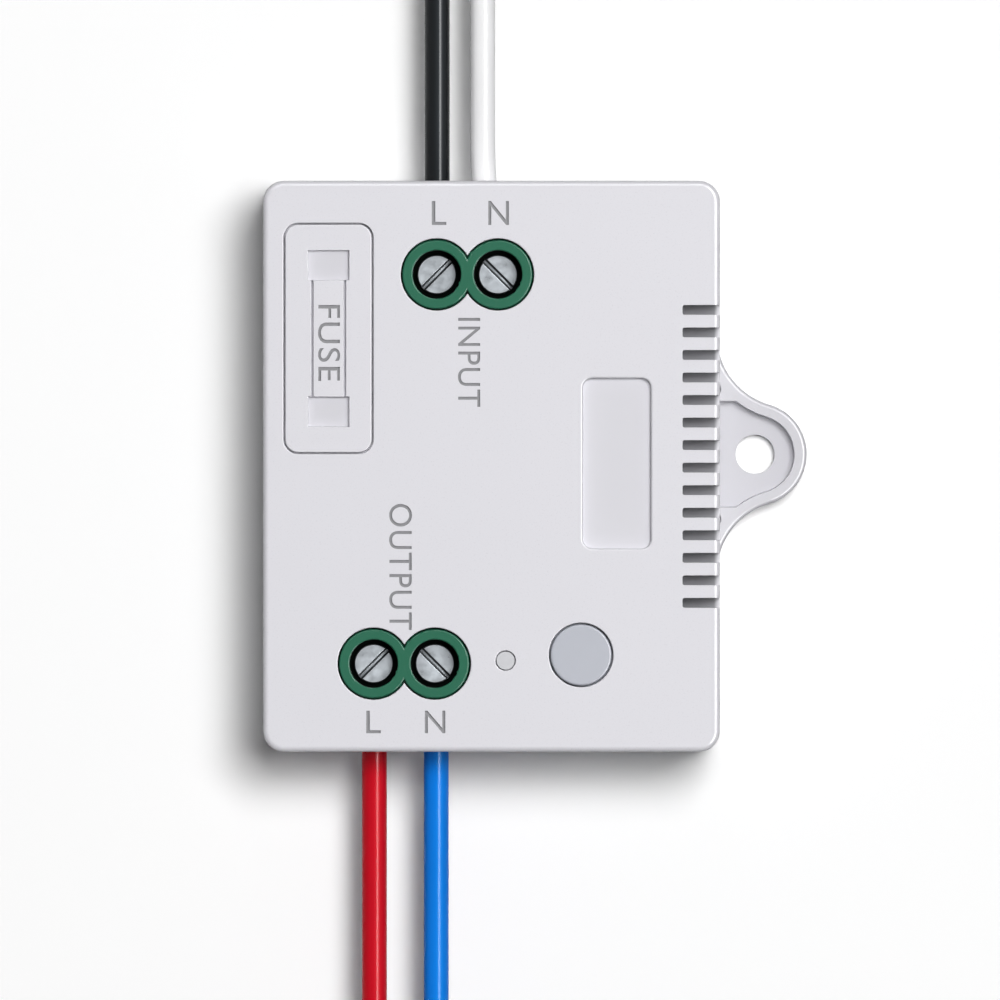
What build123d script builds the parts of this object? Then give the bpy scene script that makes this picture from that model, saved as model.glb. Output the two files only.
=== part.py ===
from build123d import *

import math
import os

# Wireless switch module: a mains relay in a flat plastic housing, lying on its back.
# Millimetres. The origin is the middle of the rear face, +X points to the mounting ear,
# +Y to the input terminals and +Z out of the marked face.

# Clearances and cutting overrun
slip_fit = 0.05
seam_gap = 0.15
rest_gap = 0.1
overrun = 1.0

# Housing
housing_width = 56.0
housing_length = 70.0
housing_height = 22.0
housing_corner_radius = 2.6
housing_edge_radius = 0.7
housing_wall = 1.8
face_thickness = 1.8
floor_thickness = 2.0
rim_share = 5 / 22
rear_edge_chamfer = 0.4
lip_height = 1.8
lip_thickness = 0.85
face_edge_chamfer = 0.08

# Four screws that hold the cover, driven from the rear
boss_inset = 4.6
boss_radius = 2.3
cover_screw_radius = 1.1
cover_screw_length = 12.0
cover_screw_head_radius = 1.9
cover_screw_head_height = 1.2
cover_screw_sink = 1.6
cover_screw_drive_width = 0.5
cover_screw_drive_length = 2.2
cover_screw_drive_depth = 0.7

# Mounting ear
ear_reach = 4.45
ear_y = 1.5
ear_end_radius = 6.35
ear_flare_radius = 8.9
ear_flare_offset = 4.2
ear_rim_width = 1.5
ear_height = 4.2
ear_web = 1.8
ear_pocket_half_length = 6.55
ear_pocket_angle = 2.0
ear_hole_radius = 2.4
ear_edge_radius = 0.5
ear_root_depth = 1.2
ear_notch_radius = 1.0
ear_notch_width = 0.25
ear_notch_spacing = 16.0
ear_notch_depth = 1.0

# Cooling slots through the right edge, with a shelf behind them that stops wires and fingers
vent_count = 14
vent_pitch = 2.762
vent_width = 1.2
vent_y = 1.2
vent_length = 4.6
vent_corner_radius = 0.25
shelf_reach = 6.4
shelf_depth = 5.4
shelf_thickness = 1.0
shelf_overhang = 1.2

# Sunken label field
label_side_margin = 8.445
label_y = 0.35
label_width = 8.35
label_length = 20.9
label_corner_radius = 1.2
label_depth = 1.25
label_edge_radius = 0.25

# Fuse door and the well below it
door_side_margin = 2.72
door_end_margin = 5.4
door_width = 10.6
door_length = 27.9
door_corner_radius = 1.6
door_gap = 0.2
door_thickness = 1.5
door_groove_width = 5.1
door_groove_length = 3.7
door_groove_spacing = 17.95
door_groove_depth = 1.05
door_groove_angle = 2.0
door_line_width = 0.3
door_line_spacing = 4.0
door_skirt_thickness = 0.9
door_skirt_depth = 2.6
well_width = 8.2
well_length = 25.5
well_wall = 1.5
well_bottom = 9.0

# Push button and its switch on the board
button_side_margin = 17.02
button_end_margin = 11.87
button_radius = 3.75
button_gap = 0.2
button_proud = 0.1
button_edge_radius = 0.25
button_flange_radius = 4.7
button_flange_height = 0.8
button_flange_gap = 0.3
button_stem_radius = 1.5
button_travel = 0.35
tact_width = 6.0
tact_height = 3.4
tact_plunger_radius = 1.7
tact_plunger_height = 3.0
tact_bore_depth = 1.5
tact_leg_spacing_x = 6.5
tact_leg_spacing_y = 4.5
tact_leg_width = 0.7
tact_leg_thickness = 0.25

# Light guide and its lamp
light_side_margin = 26.27
light_end_margin = 11.18
light_radius = 1.1
light_gap = 0.12
light_sunk = 0.1
light_flange_radius = 1.9
light_flange_height = 0.7
lamp_length = 3.2
lamp_width = 1.6
lamp_height = 1.1
lamp_gap = 0.3

# Circuit board
board_underside = 4.5
board_thickness = 1.6
board_margin = 0.3
board_corner_radius = 0.8
board_notch_gap = 0.4
board_post_radius = 1.4
board_post_inset_x = 9.5
board_post_inset_y = 5.5
pin_stand_out = 1.3
pin_hole_gap = 0.1

# Screw terminals, two poles each
pole_pitch = 7.5
input_side_margin = 25.05
input_end_margin = 11.5
output_side_margin = 17.31
output_end_margin = 10.8
block_width = 15.4
block_front = 8.7
block_back = 4.2
block_shoulder_depth = 4.7
block_edge_radius = 0.4
collar_radius = 4.22
collar_gap = 0.2
collar_sunk = 0.1
collar_edge_radius = 0.2
funnel_radius = 2.97
funnel_edge_radius = 0.15
chamber_width = 5.9
chamber_depth = 4.9
chamber_roof_depth = 6.1
entry_width = 6.7
entry_height = 5.2
entry_depth = 4.1
throat_width = 4.0
throat_height = 3.6

# Terminal screws and the clamp cages that they raise
screw_head_radius = 2.42
screw_head_height = 2.0
screw_head_sunk = 2.4
screw_shank_radius = 1.5
screw_slot_width = 0.72
screw_slot_floor = 0.26
screw_slot_depth = 0.9
screw_edge_chamfer = 0.12
screw_tip_gap = 0.05
screw_hole_gap = 0.15
cage_width = 5.4
cage_depth = 4.4
cage_wall = 0.9
cage_top_bar = 1.8
cage_headroom = 0.6
cage_opening_share = 0.41225
cage_corner_radius = 0.4
strip_width = 3.2
strip_thickness = 0.8
strip_front = 2.4
strip_leg_width = 1.4

# Leads, single core, stripped at both ends
lead_radius = 1.53
core_radius = 0.69
core_gap = 0.05
lead_hole_gap = 0.35
lead_clamp_gap = 0.05
strip_start = 4.9
core_start = -1.7
core_tip = 8.0
lead_lying_gap = 0.05
black_offset = 0.02
white_offset = -1.9
red_offset = 0.04
blue_offset = 0.14
white_bend_inset = 1.4
input_level_reach = 32.0
output_level_reach = 40.0
lead_drop_run = 16.0
lead_end_run = 14.0
bend_share = 0.45

# Glass fuse in two clips
fuse_axis_height = 11.3
fuse_length = 20.0
fuse_cap_radius = 2.6
fuse_cap_length = 5.0
fuse_cap_wall = 0.3
fuse_tube_wall = 0.4
fuse_wire_radius = 0.12
clip_thickness = 0.4
clip_length = 4.4
clip_mouth_width = 3.2
clip_foot_width = 4.6
clip_pin_radius = 0.5

# Relay
relay_x = 16.0
relay_y = 0.0
relay_width = 10.1
relay_length = 17.6
relay_headroom = 1.6
relay_wall = 0.5
relay_foot_gap = 0.2
relay_edge_radius = 0.4
relay_base_thickness = 1.2
relay_pin_radius = 0.4
relay_pin_spacing_x = 7.5
relay_pin_spacing_y = 12.5
coil_y = -2.6
coil_radius = 3.1
bobbin_radius = 3.6
bobbin_tube_radius = 1.9
bobbin_flange = 0.6
core_post_radius = 1.5
core_head_radius = 2.6
core_head_height = 0.6
yoke_thickness = 0.8
yoke_width = 6.4
yoke_y = -7.6
armature_headroom = 3.1
armature_thickness = 0.7
armature_width = 6.0
armature_length = 8.6
armature_overhang = 0.35
armature_gap = 0.3
blade_thickness = 0.2
blade_width = 3.0
blade_end = 7.4
contact_radius = 1.0
contact_height = 0.4
contact_y = 6.2
contact_gap = 0.6
post_width = 2.6
post_thickness = 0.6

# Mains transformer
transformer_x = -6.5
transformer_gap = 2.7
transformer_width = 12.6
transformer_headroom = 2.1
transformer_depth = 6.2
transformer_limb = 2.3
transformer_middle = 3.0
transformer_foot = 1.0
winding_depth = 9.4
winding_gap = 0.1
transformer_base_width = 12.0
transformer_base_depth = 10.4
transformer_pin_spacing_x = 2.5
transformer_pin_spacing_y = 8.6
transformer_pin_radius = 0.35

# Round capacitors
bulk_x = 5.5
bulk_offset = 4.0
bulk_radius = 4.0
bulk_headroom = 2.1
reservoir_x = -2.5
reservoir_gap = 1.1
reservoir_radius = 3.15
reservoir_headroom = 3.1
capacitor_edge_radius = 0.5
capacitor_crimp_height = 1.6
capacitor_crimp_depth = 0.35
capacitor_crimp_width = 0.8
capacitor_cross_width = 0.3
capacitor_cross_depth = 0.15
capacitor_leg_spacing = 3.5
capacitor_leg_radius = 0.3

# Mains filter parts
film_x = -5.0
film_gap = 1.4
film_width = 13.0
film_depth = 5.0
film_headroom = 3.6
film_edge_radius = 0.5
film_leg_spacing = 10.0
varistor_x = 11.0
varistor_offset = -0.5
varistor_radius = 3.6
varistor_thickness = 3.2
varistor_lift = 1.0
varistor_leg_spacing = 5.0
varistor_skew = 0.8
choke_x = 17.5
choke_offset = -7.0
choke_radius = 3.2
choke_waist_radius = 2.6
choke_height = 8.0
choke_flange = 1.0
choke_leg_spacing = 3.0
thin_leg_radius = 0.3

# Flat parts on the board
bridge_x = 5.5
bridge_offset = -1.0
bridge_width = 4.7
bridge_length = 3.9
bridge_height = 2.4
bridge_lead_reach = 1.1
bridge_lead_width = 0.6
bridge_lead_thickness = 0.25
bridge_lead_spacing = 2.5
chip_x = 6.0
chip_offset = 11.2
chip_width = 3.9
chip_length = 4.9
chip_height = 1.5
chip_lead_count = 4
chip_lead_pitch = 1.27
chip_lead_reach = 1.0
chip_lead_width = 0.4
chip_lead_thickness = 0.2

# Radio board on a pin header
radio_x = -17.2
radio_offset = 16.0
radio_width = 15.0
radio_length = 12.0
radio_underside = 8.6
radio_thickness = 0.8
radio_shield_width = 9.6
radio_shield_length = 8.0
radio_shield_height = 1.8
radio_shield_wall = 0.25
radio_shield_offset = 1.6
radio_pin_count = 6
radio_pin_pitch = 2.0
radio_pin_width = 0.5
radio_pin_inset = 1.2
radio_strip_width = 2.0

# Places and sizes that follow from the sizes above
ceiling = housing_height - face_thickness
inner_width = housing_width - 2 * housing_wall
inner_length = housing_length - 2 * housing_wall
inner_corner_radius = housing_corner_radius - housing_wall
right_wall = housing_width / 2
left_wall = -right_wall
input_wall = housing_length / 2
output_wall = -input_wall
boss_spacing_x = housing_width - 2 * boss_inset
boss_spacing_y = housing_length - 2 * boss_inset
board_post_spacing_x = housing_width - 2 * board_post_inset_x
board_post_spacing_y = housing_length - 2 * board_post_inset_y
ear_x = right_wall + ear_reach
vent_left = right_wall - vent_length
shelf_left = right_wall - shelf_reach
label_x = right_wall - label_side_margin - label_width / 2
door_x = left_wall + door_side_margin + door_width / 2
door_y = input_wall - door_end_margin - door_length / 2
button_x = right_wall - button_side_margin
button_y = output_wall + button_end_margin
light_x = right_wall - light_side_margin
light_y = output_wall + light_end_margin
input_x = left_wall + input_side_margin
input_y = input_wall - input_end_margin
output_x = left_wall + output_side_margin
output_y = output_wall + output_end_margin
black_x = input_x - pole_pitch / 2 + black_offset
white_x = input_x + pole_pitch / 2 + white_offset
red_x = output_x - pole_pitch / 2 + red_offset
blue_x = output_x + pole_pitch / 2 + blue_offset
white_bend_y = input_wall - white_bend_inset
input_level_y = input_wall + input_level_reach
output_level_y = output_wall - output_level_reach
film_y = input_y - block_back - film_gap - film_depth / 2
transformer_y = film_y - film_depth / 2 - transformer_gap - transformer_base_depth / 2
bulk_y = transformer_y + bulk_offset
reservoir_y = output_y + block_back + reservoir_gap + reservoir_radius
varistor_y = input_y + varistor_offset
choke_y = input_y + choke_offset
bridge_y = relay_y + bridge_offset
chip_y = output_y + chip_offset
radio_y = output_y + radio_offset
board_top = board_underside + board_thickness
pin_bottom = board_underside - pin_stand_out
rim_height = housing_height * rim_share
shelf_top = housing_height - shelf_depth
block_shoulder_height = housing_height - block_shoulder_depth
chamber_top = housing_height - chamber_roof_depth
screw_head_top = housing_height - screw_head_sunk
cage_opening_height = cage_opening_share * (chamber_top - board_top)
cage_top = chamber_top - cage_headroom
cage_floor = cage_top - cage_top_bar - cage_opening_height
cage_bottom = cage_floor - cage_wall
lead_height = cage_floor + core_radius + lead_clamp_gap
door_underside = housing_height - door_thickness
door_ledge = door_underside - rest_gap
collar_top = housing_height - collar_sunk
screw_shoulder = screw_head_top - screw_head_height
strip_underside = lead_height + core_radius + lead_clamp_gap
strip_top = strip_underside + strip_thickness
lying_height = lead_radius + lead_lying_gap
button_flange_top = ceiling - button_flange_gap
button_stem_bottom = board_top + tact_height + tact_plunger_height - tact_bore_depth + slip_fit
relay_height = ceiling - relay_headroom - board_top
relay_base_bottom = board_top + relay_foot_gap
relay_base_top = relay_base_bottom + relay_base_thickness
coil_bottom = relay_base_top + yoke_thickness
armature_underside = ceiling - armature_headroom
core_top = armature_underside - armature_gap
bobbin_top = core_top - core_head_height
blade_underside = armature_underside + armature_thickness
contact_underside = blade_underside - contact_height
hinge_y = yoke_y + yoke_thickness / 2
bulk_height = ceiling - bulk_headroom - board_top
reservoir_height = ceiling - reservoir_headroom - board_top
film_height = ceiling - film_headroom - board_top
board_notch = 2 * (boss_radius + board_notch_gap)

os.makedirs("parts", exist_ok=True)


def save(piece, name):
    piece.part.label = name
    export_step(piece.part, f"parts/{name}.step")


def pole_places(centre_x):
    return [centre_x - pole_pitch / 2, centre_x + pole_pitch / 2]


# Flat outline of the ear, drawn in by an inset for the pocket inside its rim
def ear_face(inset):
    end_radius = ear_end_radius - inset
    flare_radius = ear_flare_radius + inset
    flare_rise = math.sqrt((ear_end_radius + ear_flare_radius) ** 2 - ear_flare_offset**2)
    meet_angle = math.degrees(math.atan2(flare_rise, ear_flare_offset))
    root_x = right_wall - ear_root_depth
    flare_x = ear_x + ear_flare_offset
    wall_run = flare_x - right_wall
    wall_angle = math.degrees(math.acos(wall_run / flare_radius))
    sweep_angle = meet_angle - wall_angle
    root_y = flare_rise - flare_radius * math.sin(math.radians(wall_angle))
    with BuildSketch(mode=Mode.PRIVATE) as face:
        with BuildLine():
            CenterArc((ear_x, ear_y), end_radius, -meet_angle, 2 * meet_angle)
            CenterArc((flare_x, ear_y + flare_rise), flare_radius, 180 + meet_angle, -sweep_angle)
            CenterArc((flare_x, ear_y - flare_rise), flare_radius, 180 - meet_angle, sweep_angle)
            Polyline(
                (right_wall, ear_y + root_y),
                (root_x, ear_y + root_y),
                (root_x, ear_y - root_y),
                (right_wall, ear_y - root_y),
            )
        make_face()
    return face.sketch


# Mounting ear with a raised rim round its hole
with BuildPart() as ear_plate:
    with BuildSketch():
        add(ear_face(0))
    extrude(amount=ear_height)
    fillet(
        ear_plate.faces().sort_by(Axis.Z)[-1].edges().filter_by(GeomType.CIRCLE),
        ear_edge_radius,
    )
    with BuildSketch(Plane.XY.offset(ear_height)):
        add(ear_face(ear_rim_width))
        with Locations((right_wall + housing_width / 2, ear_y)):
            Rectangle(housing_width, 2 * ear_pocket_half_length, mode=Mode.INTERSECT)
    extrude(amount=ear_web - ear_height, taper=ear_pocket_angle, mode=Mode.SUBTRACT)
    with BuildSketch(Plane.XY.offset(ear_height - ear_notch_depth)):
        with Locations((right_wall + ear_notch_width - ear_notch_radius, ear_y)):
            with GridLocations(0, ear_notch_spacing, 1, 2):
                Circle(ear_notch_radius)
        with Locations((right_wall + housing_width / 2, ear_y)):
            Rectangle(housing_width, housing_length, mode=Mode.INTERSECT)
    extrude(amount=ear_notch_depth, mode=Mode.SUBTRACT)
    with Locations((ear_x, ear_y, ear_web)):
        Hole(ear_hole_radius)

# Rear shell: floor, low rim with a lip for the cover, board posts and screw columns
with BuildPart() as base_shell:
    with BuildSketch():
        RectangleRounded(housing_width, housing_length, housing_corner_radius)
    extrude(amount=rim_height)
    chamfer(base_shell.faces().sort_by(Axis.Z)[0].edges(), rear_edge_chamfer)
    with BuildSketch(Plane.XY.offset(rim_height)):
        RectangleRounded(
            inner_width + 2 * lip_thickness,
            inner_length + 2 * lip_thickness,
            inner_corner_radius + lip_thickness,
        )
    extrude(amount=lip_height)
    with BuildSketch(Plane.XY.offset(floor_thickness)):
        RectangleRounded(inner_width, inner_length, inner_corner_radius)
    extrude(amount=rim_height + lip_height - floor_thickness, mode=Mode.SUBTRACT)
    with BuildSketch(Plane.XY.offset(floor_thickness)):
        with GridLocations(board_post_spacing_x, board_post_spacing_y, 2, 2):
            Circle(board_post_radius)
    extrude(amount=board_underside - floor_thickness)
    with BuildSketch(Plane.XY.offset(floor_thickness)):
        with GridLocations(boss_spacing_x, boss_spacing_y, 2, 2):
            Circle(boss_radius)
    extrude(amount=rim_height - floor_thickness)
    with BuildSketch():
        with GridLocations(boss_spacing_x, boss_spacing_y, 2, 2):
            Circle(cover_screw_radius + slip_fit)
    extrude(amount=rim_height, mode=Mode.SUBTRACT)
    with BuildSketch():
        with GridLocations(boss_spacing_x, boss_spacing_y, 2, 2):
            Circle(cover_screw_head_radius + seam_gap)
    extrude(amount=cover_screw_sink, mode=Mode.SUBTRACT)
    add(ear_plate.part)
save(base_shell, "base_shell")

# Screws that hold the cover, heads sunk in the rear face
with BuildPart() as housing_screws:
    with BuildSketch(Plane.XY.offset(cover_screw_sink)):
        with GridLocations(boss_spacing_x, boss_spacing_y, 2, 2):
            Circle(cover_screw_radius)
    extrude(amount=cover_screw_length)
    with BuildSketch(Plane.XY.offset(cover_screw_sink)):
        with GridLocations(boss_spacing_x, boss_spacing_y, 2, 2):
            Circle(cover_screw_head_radius)
    extrude(amount=-cover_screw_head_height)
    with BuildSketch(Plane.XY.offset(cover_screw_sink - cover_screw_head_height)):
        with GridLocations(boss_spacing_x, boss_spacing_y, 2, 2):
            Rectangle(cover_screw_drive_length, cover_screw_drive_width)
            Rectangle(cover_screw_drive_width, cover_screw_drive_length)
    extrude(amount=cover_screw_drive_depth, mode=Mode.SUBTRACT)
save(housing_screws, "housing_screws")


# Figure of eight round the two screws of a terminal
def collar_outline(centre_x, centre_y, grow):
    with BuildSketch(mode=Mode.PRIVATE) as outline:
        with Locations((centre_x, centre_y)):
            with GridLocations(pole_pitch, 0, 2, 1):
                Circle(collar_radius + grow)
    return outline.sketch


# Cover: face, side walls, screw bosses, fuse well, cooling slots and openings
with BuildPart() as top_cover:
    with BuildSketch(Plane.XY.offset(rim_height)):
        RectangleRounded(housing_width, housing_length, housing_corner_radius)
    extrude(amount=housing_height - rim_height)
    fillet(top_cover.faces().sort_by(Axis.Z)[-1].edges(), housing_edge_radius)
    with BuildSketch(Plane.XY.offset(rim_height)):
        RectangleRounded(inner_width, inner_length, inner_corner_radius)
    extrude(amount=ceiling - rim_height, mode=Mode.SUBTRACT)
    with BuildSketch(Plane.XY.offset(rim_height)):
        RectangleRounded(
            inner_width + 2 * (lip_thickness + slip_fit),
            inner_length + 2 * (lip_thickness + slip_fit),
            inner_corner_radius + lip_thickness + slip_fit,
        )
    extrude(amount=lip_height + rest_gap, mode=Mode.SUBTRACT)
    with BuildSketch(Plane.XY.offset(rim_height)):
        with GridLocations(boss_spacing_x, boss_spacing_y, 2, 2):
            Circle(boss_radius)
    extrude(amount=ceiling - rim_height)
    with BuildSketch(Plane.XY.offset(well_bottom)):
        with Locations((door_x, door_y)):
            Rectangle(well_width + 2 * well_wall, well_length + 2 * well_wall)
    extrude(amount=ceiling - well_bottom)
    with BuildSketch(Plane.XY.offset(shelf_top)):
        shelf_width = inner_width / 2 + slip_fit - shelf_left
        with Locations((shelf_left + shelf_width / 2, vent_y)):
            Rectangle(shelf_width, vent_pitch * (vent_count - 1) + 2 * shelf_overhang)
    extrude(amount=-shelf_thickness)
    with BuildSketch(Plane.XY.offset(well_bottom)):
        with Locations((door_x, door_y)):
            Rectangle(well_width, well_length)
    extrude(amount=housing_height - well_bottom, mode=Mode.SUBTRACT)
    with BuildSketch(Plane.XY.offset(door_ledge)):
        with Locations((door_x, door_y)):
            RectangleRounded(
                door_width + 2 * door_gap,
                door_length + 2 * door_gap,
                door_corner_radius + door_gap,
            )
    extrude(amount=housing_height - door_ledge, mode=Mode.SUBTRACT)
    with BuildSketch(Plane.XY.offset(ceiling)):
        add(collar_outline(input_x, input_y, collar_gap))
        add(collar_outline(output_x, output_y, collar_gap))
        with Locations((button_x, button_y)):
            Circle(button_radius + button_gap)
        with Locations((light_x, light_y)):
            Circle(light_radius + light_gap)
    extrude(amount=face_thickness, mode=Mode.SUBTRACT)
    chamfer(
        top_cover.faces().sort_by(Axis.Z)[-1].inner_wires().edges(),
        face_edge_chamfer,
    )
    with BuildSketch(Plane.XY.offset(housing_height - label_depth)):
        with Locations((label_x, label_y)):
            RectangleRounded(label_width, label_length, label_corner_radius)
    extrude(amount=label_depth, mode=Mode.SUBTRACT)
    face_openings = top_cover.faces().sort_by(Axis.Z)[-1].inner_wires()
    label_rim = face_openings.sort_by_distance((label_x, label_y, housing_height))[0]
    fillet(label_rim.edges(), label_edge_radius)
    with BuildSketch(Plane.XY.offset(shelf_top)) as vent_slots:
        vent_run = right_wall + overrun - vent_left
        with Locations((vent_left + vent_run / 2, vent_y)):
            with GridLocations(0, vent_pitch, 1, vent_count):
                Rectangle(vent_run, vent_width)
        fillet(vent_slots.vertices().group_by(Axis.X)[0], vent_corner_radius)
    extrude(amount=housing_height - shelf_top, mode=Mode.SUBTRACT)
    with BuildSketch(Plane.XY.offset(rim_height)):
        with GridLocations(boss_spacing_x, boss_spacing_y, 2, 2):
            Circle(cover_screw_radius + slip_fit)
    screw_reach = cover_screw_sink + cover_screw_length + rest_gap
    extrude(amount=screw_reach - rim_height, mode=Mode.SUBTRACT)
    with BuildSketch(Plane.XZ.offset(-housing_length / 2)):
        with Locations((black_x, lead_height), (white_x, lead_height)):
            Circle(lead_radius + lead_hole_gap)
    extrude(amount=housing_wall, mode=Mode.SUBTRACT)
    with BuildSketch(Plane.XZ.offset(housing_length / 2)):
        with Locations((red_x, lead_height), (blue_x, lead_height)):
            Circle(lead_radius + lead_hole_gap)
    extrude(amount=-housing_wall, mode=Mode.SUBTRACT)
save(top_cover, "top_cover")

# Fuse door: a plug-in lid with two finger grooves, two fine lines and two skirts
with BuildPart() as fuse_door:
    with BuildSketch(Plane.XY.offset(door_underside)):
        with Locations((door_x, door_y)):
            RectangleRounded(door_width, door_length, door_corner_radius)
    extrude(amount=door_thickness)
    chamfer(fuse_door.faces().sort_by(Axis.Z)[-1].edges(), face_edge_chamfer)
    with BuildSketch(Plane.XY.offset(housing_height - door_groove_depth)):
        with Locations((door_x, door_y)):
            with GridLocations(door_line_spacing, 0, 2, 1):
                Rectangle(door_line_width, door_groove_spacing - door_groove_length)
    extrude(amount=door_groove_depth, mode=Mode.SUBTRACT)
    with BuildSketch(Plane.XY.offset(housing_height)):
        with Locations((door_x, door_y)):
            with GridLocations(0, door_groove_spacing, 1, 2):
                Rectangle(door_groove_width, door_groove_length)
    extrude(amount=-door_groove_depth, taper=door_groove_angle, mode=Mode.SUBTRACT)
    with BuildSketch(Plane.XY.offset(door_underside)):
        skirt_spacing = well_length - 2 * seam_gap - door_skirt_thickness
        with Locations((door_x, door_y)):
            with GridLocations(0, skirt_spacing, 1, 2):
                Rectangle(well_width - 2 * seam_gap, door_skirt_thickness)
    extrude(amount=-door_skirt_depth)
save(fuse_door, "fuse_door")

# Button cap with a flange that the cover holds in and a stem down to the switch
with BuildPart() as button_cap:
    with BuildSketch(Plane.XY.offset(button_flange_top)):
        with Locations((button_x, button_y)):
            Circle(button_radius)
    extrude(amount=housing_height + button_proud - button_flange_top)
    fillet(button_cap.faces().sort_by(Axis.Z)[-1].edges(), button_edge_radius)
    with BuildSketch(Plane.XY.offset(button_flange_top)):
        with Locations((button_x, button_y)):
            Circle(button_flange_radius)
    extrude(amount=-button_flange_height)
    with BuildSketch(Plane.XY.offset(button_flange_top - button_flange_height)):
        with Locations((button_x, button_y)):
            Circle(button_stem_radius)
    extrude(amount=button_stem_bottom - button_flange_top + button_flange_height)
save(button_cap, "button_cap")

# Small push switch on the board: body on four legs, and its plunger
with BuildPart() as tact_switch:
    with BuildSketch(Plane.XY.offset(board_top)):
        with Locations((button_x, button_y)):
            Rectangle(tact_width, tact_width)
    extrude(amount=tact_height)
    chamfer(tact_switch.edges().filter_by(Axis.Z), tact_leg_width / 2)
    with BuildSketch(Plane.XY.offset(board_top + tact_height)):
        with Locations((button_x, button_y)):
            Circle(tact_plunger_radius + slip_fit)
    extrude(amount=-tact_bore_depth - button_travel - slip_fit, mode=Mode.SUBTRACT)
    with BuildSketch(Plane.XY.offset(pin_bottom)):
        with Locations((button_x, button_y)):
            with GridLocations(tact_leg_spacing_x, tact_leg_spacing_y, 2, 2):
                Rectangle(tact_leg_thickness, tact_leg_width)
    extrude(amount=board_top - pin_bottom)
    with BuildSketch(Plane.XY.offset(board_top)):
        with Locations((button_x, button_y)):
            with GridLocations(0, tact_leg_spacing_y, 1, 2):
                Rectangle(tact_leg_spacing_x + tact_leg_thickness, tact_leg_width)
    extrude(amount=tact_leg_thickness)
save(tact_switch, "tact_switch")

with BuildPart() as tact_plunger:
    with BuildSketch(Plane.XY.offset(board_top + tact_height - tact_bore_depth)):
        with Locations((button_x, button_y)):
            Circle(tact_plunger_radius)
    extrude(amount=tact_plunger_height)
save(tact_plunger, "tact_plunger")

# Light guide that carries the lamp's light to the face
with BuildPart() as light_pipe:
    with BuildSketch(Plane.XY.offset(board_top + lamp_height + lamp_gap)):
        with Locations((light_x, light_y)):
            Circle(light_radius)
    pipe_bottom = board_top + lamp_height + lamp_gap
    extrude(amount=housing_height - light_sunk - pipe_bottom)
    with BuildSketch(Plane.XY.offset(ceiling)):
        with Locations((light_x, light_y)):
            Circle(light_flange_radius)
    extrude(amount=-light_flange_height)
save(light_pipe, "light_pipe")

with BuildPart() as indicator_lamp:
    with BuildSketch(Plane.XY.offset(board_top)):
        with Locations((light_x, light_y)):
            Rectangle(lamp_length, lamp_width)
    extrude(amount=lamp_height)
save(indicator_lamp, "indicator_lamp")


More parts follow.
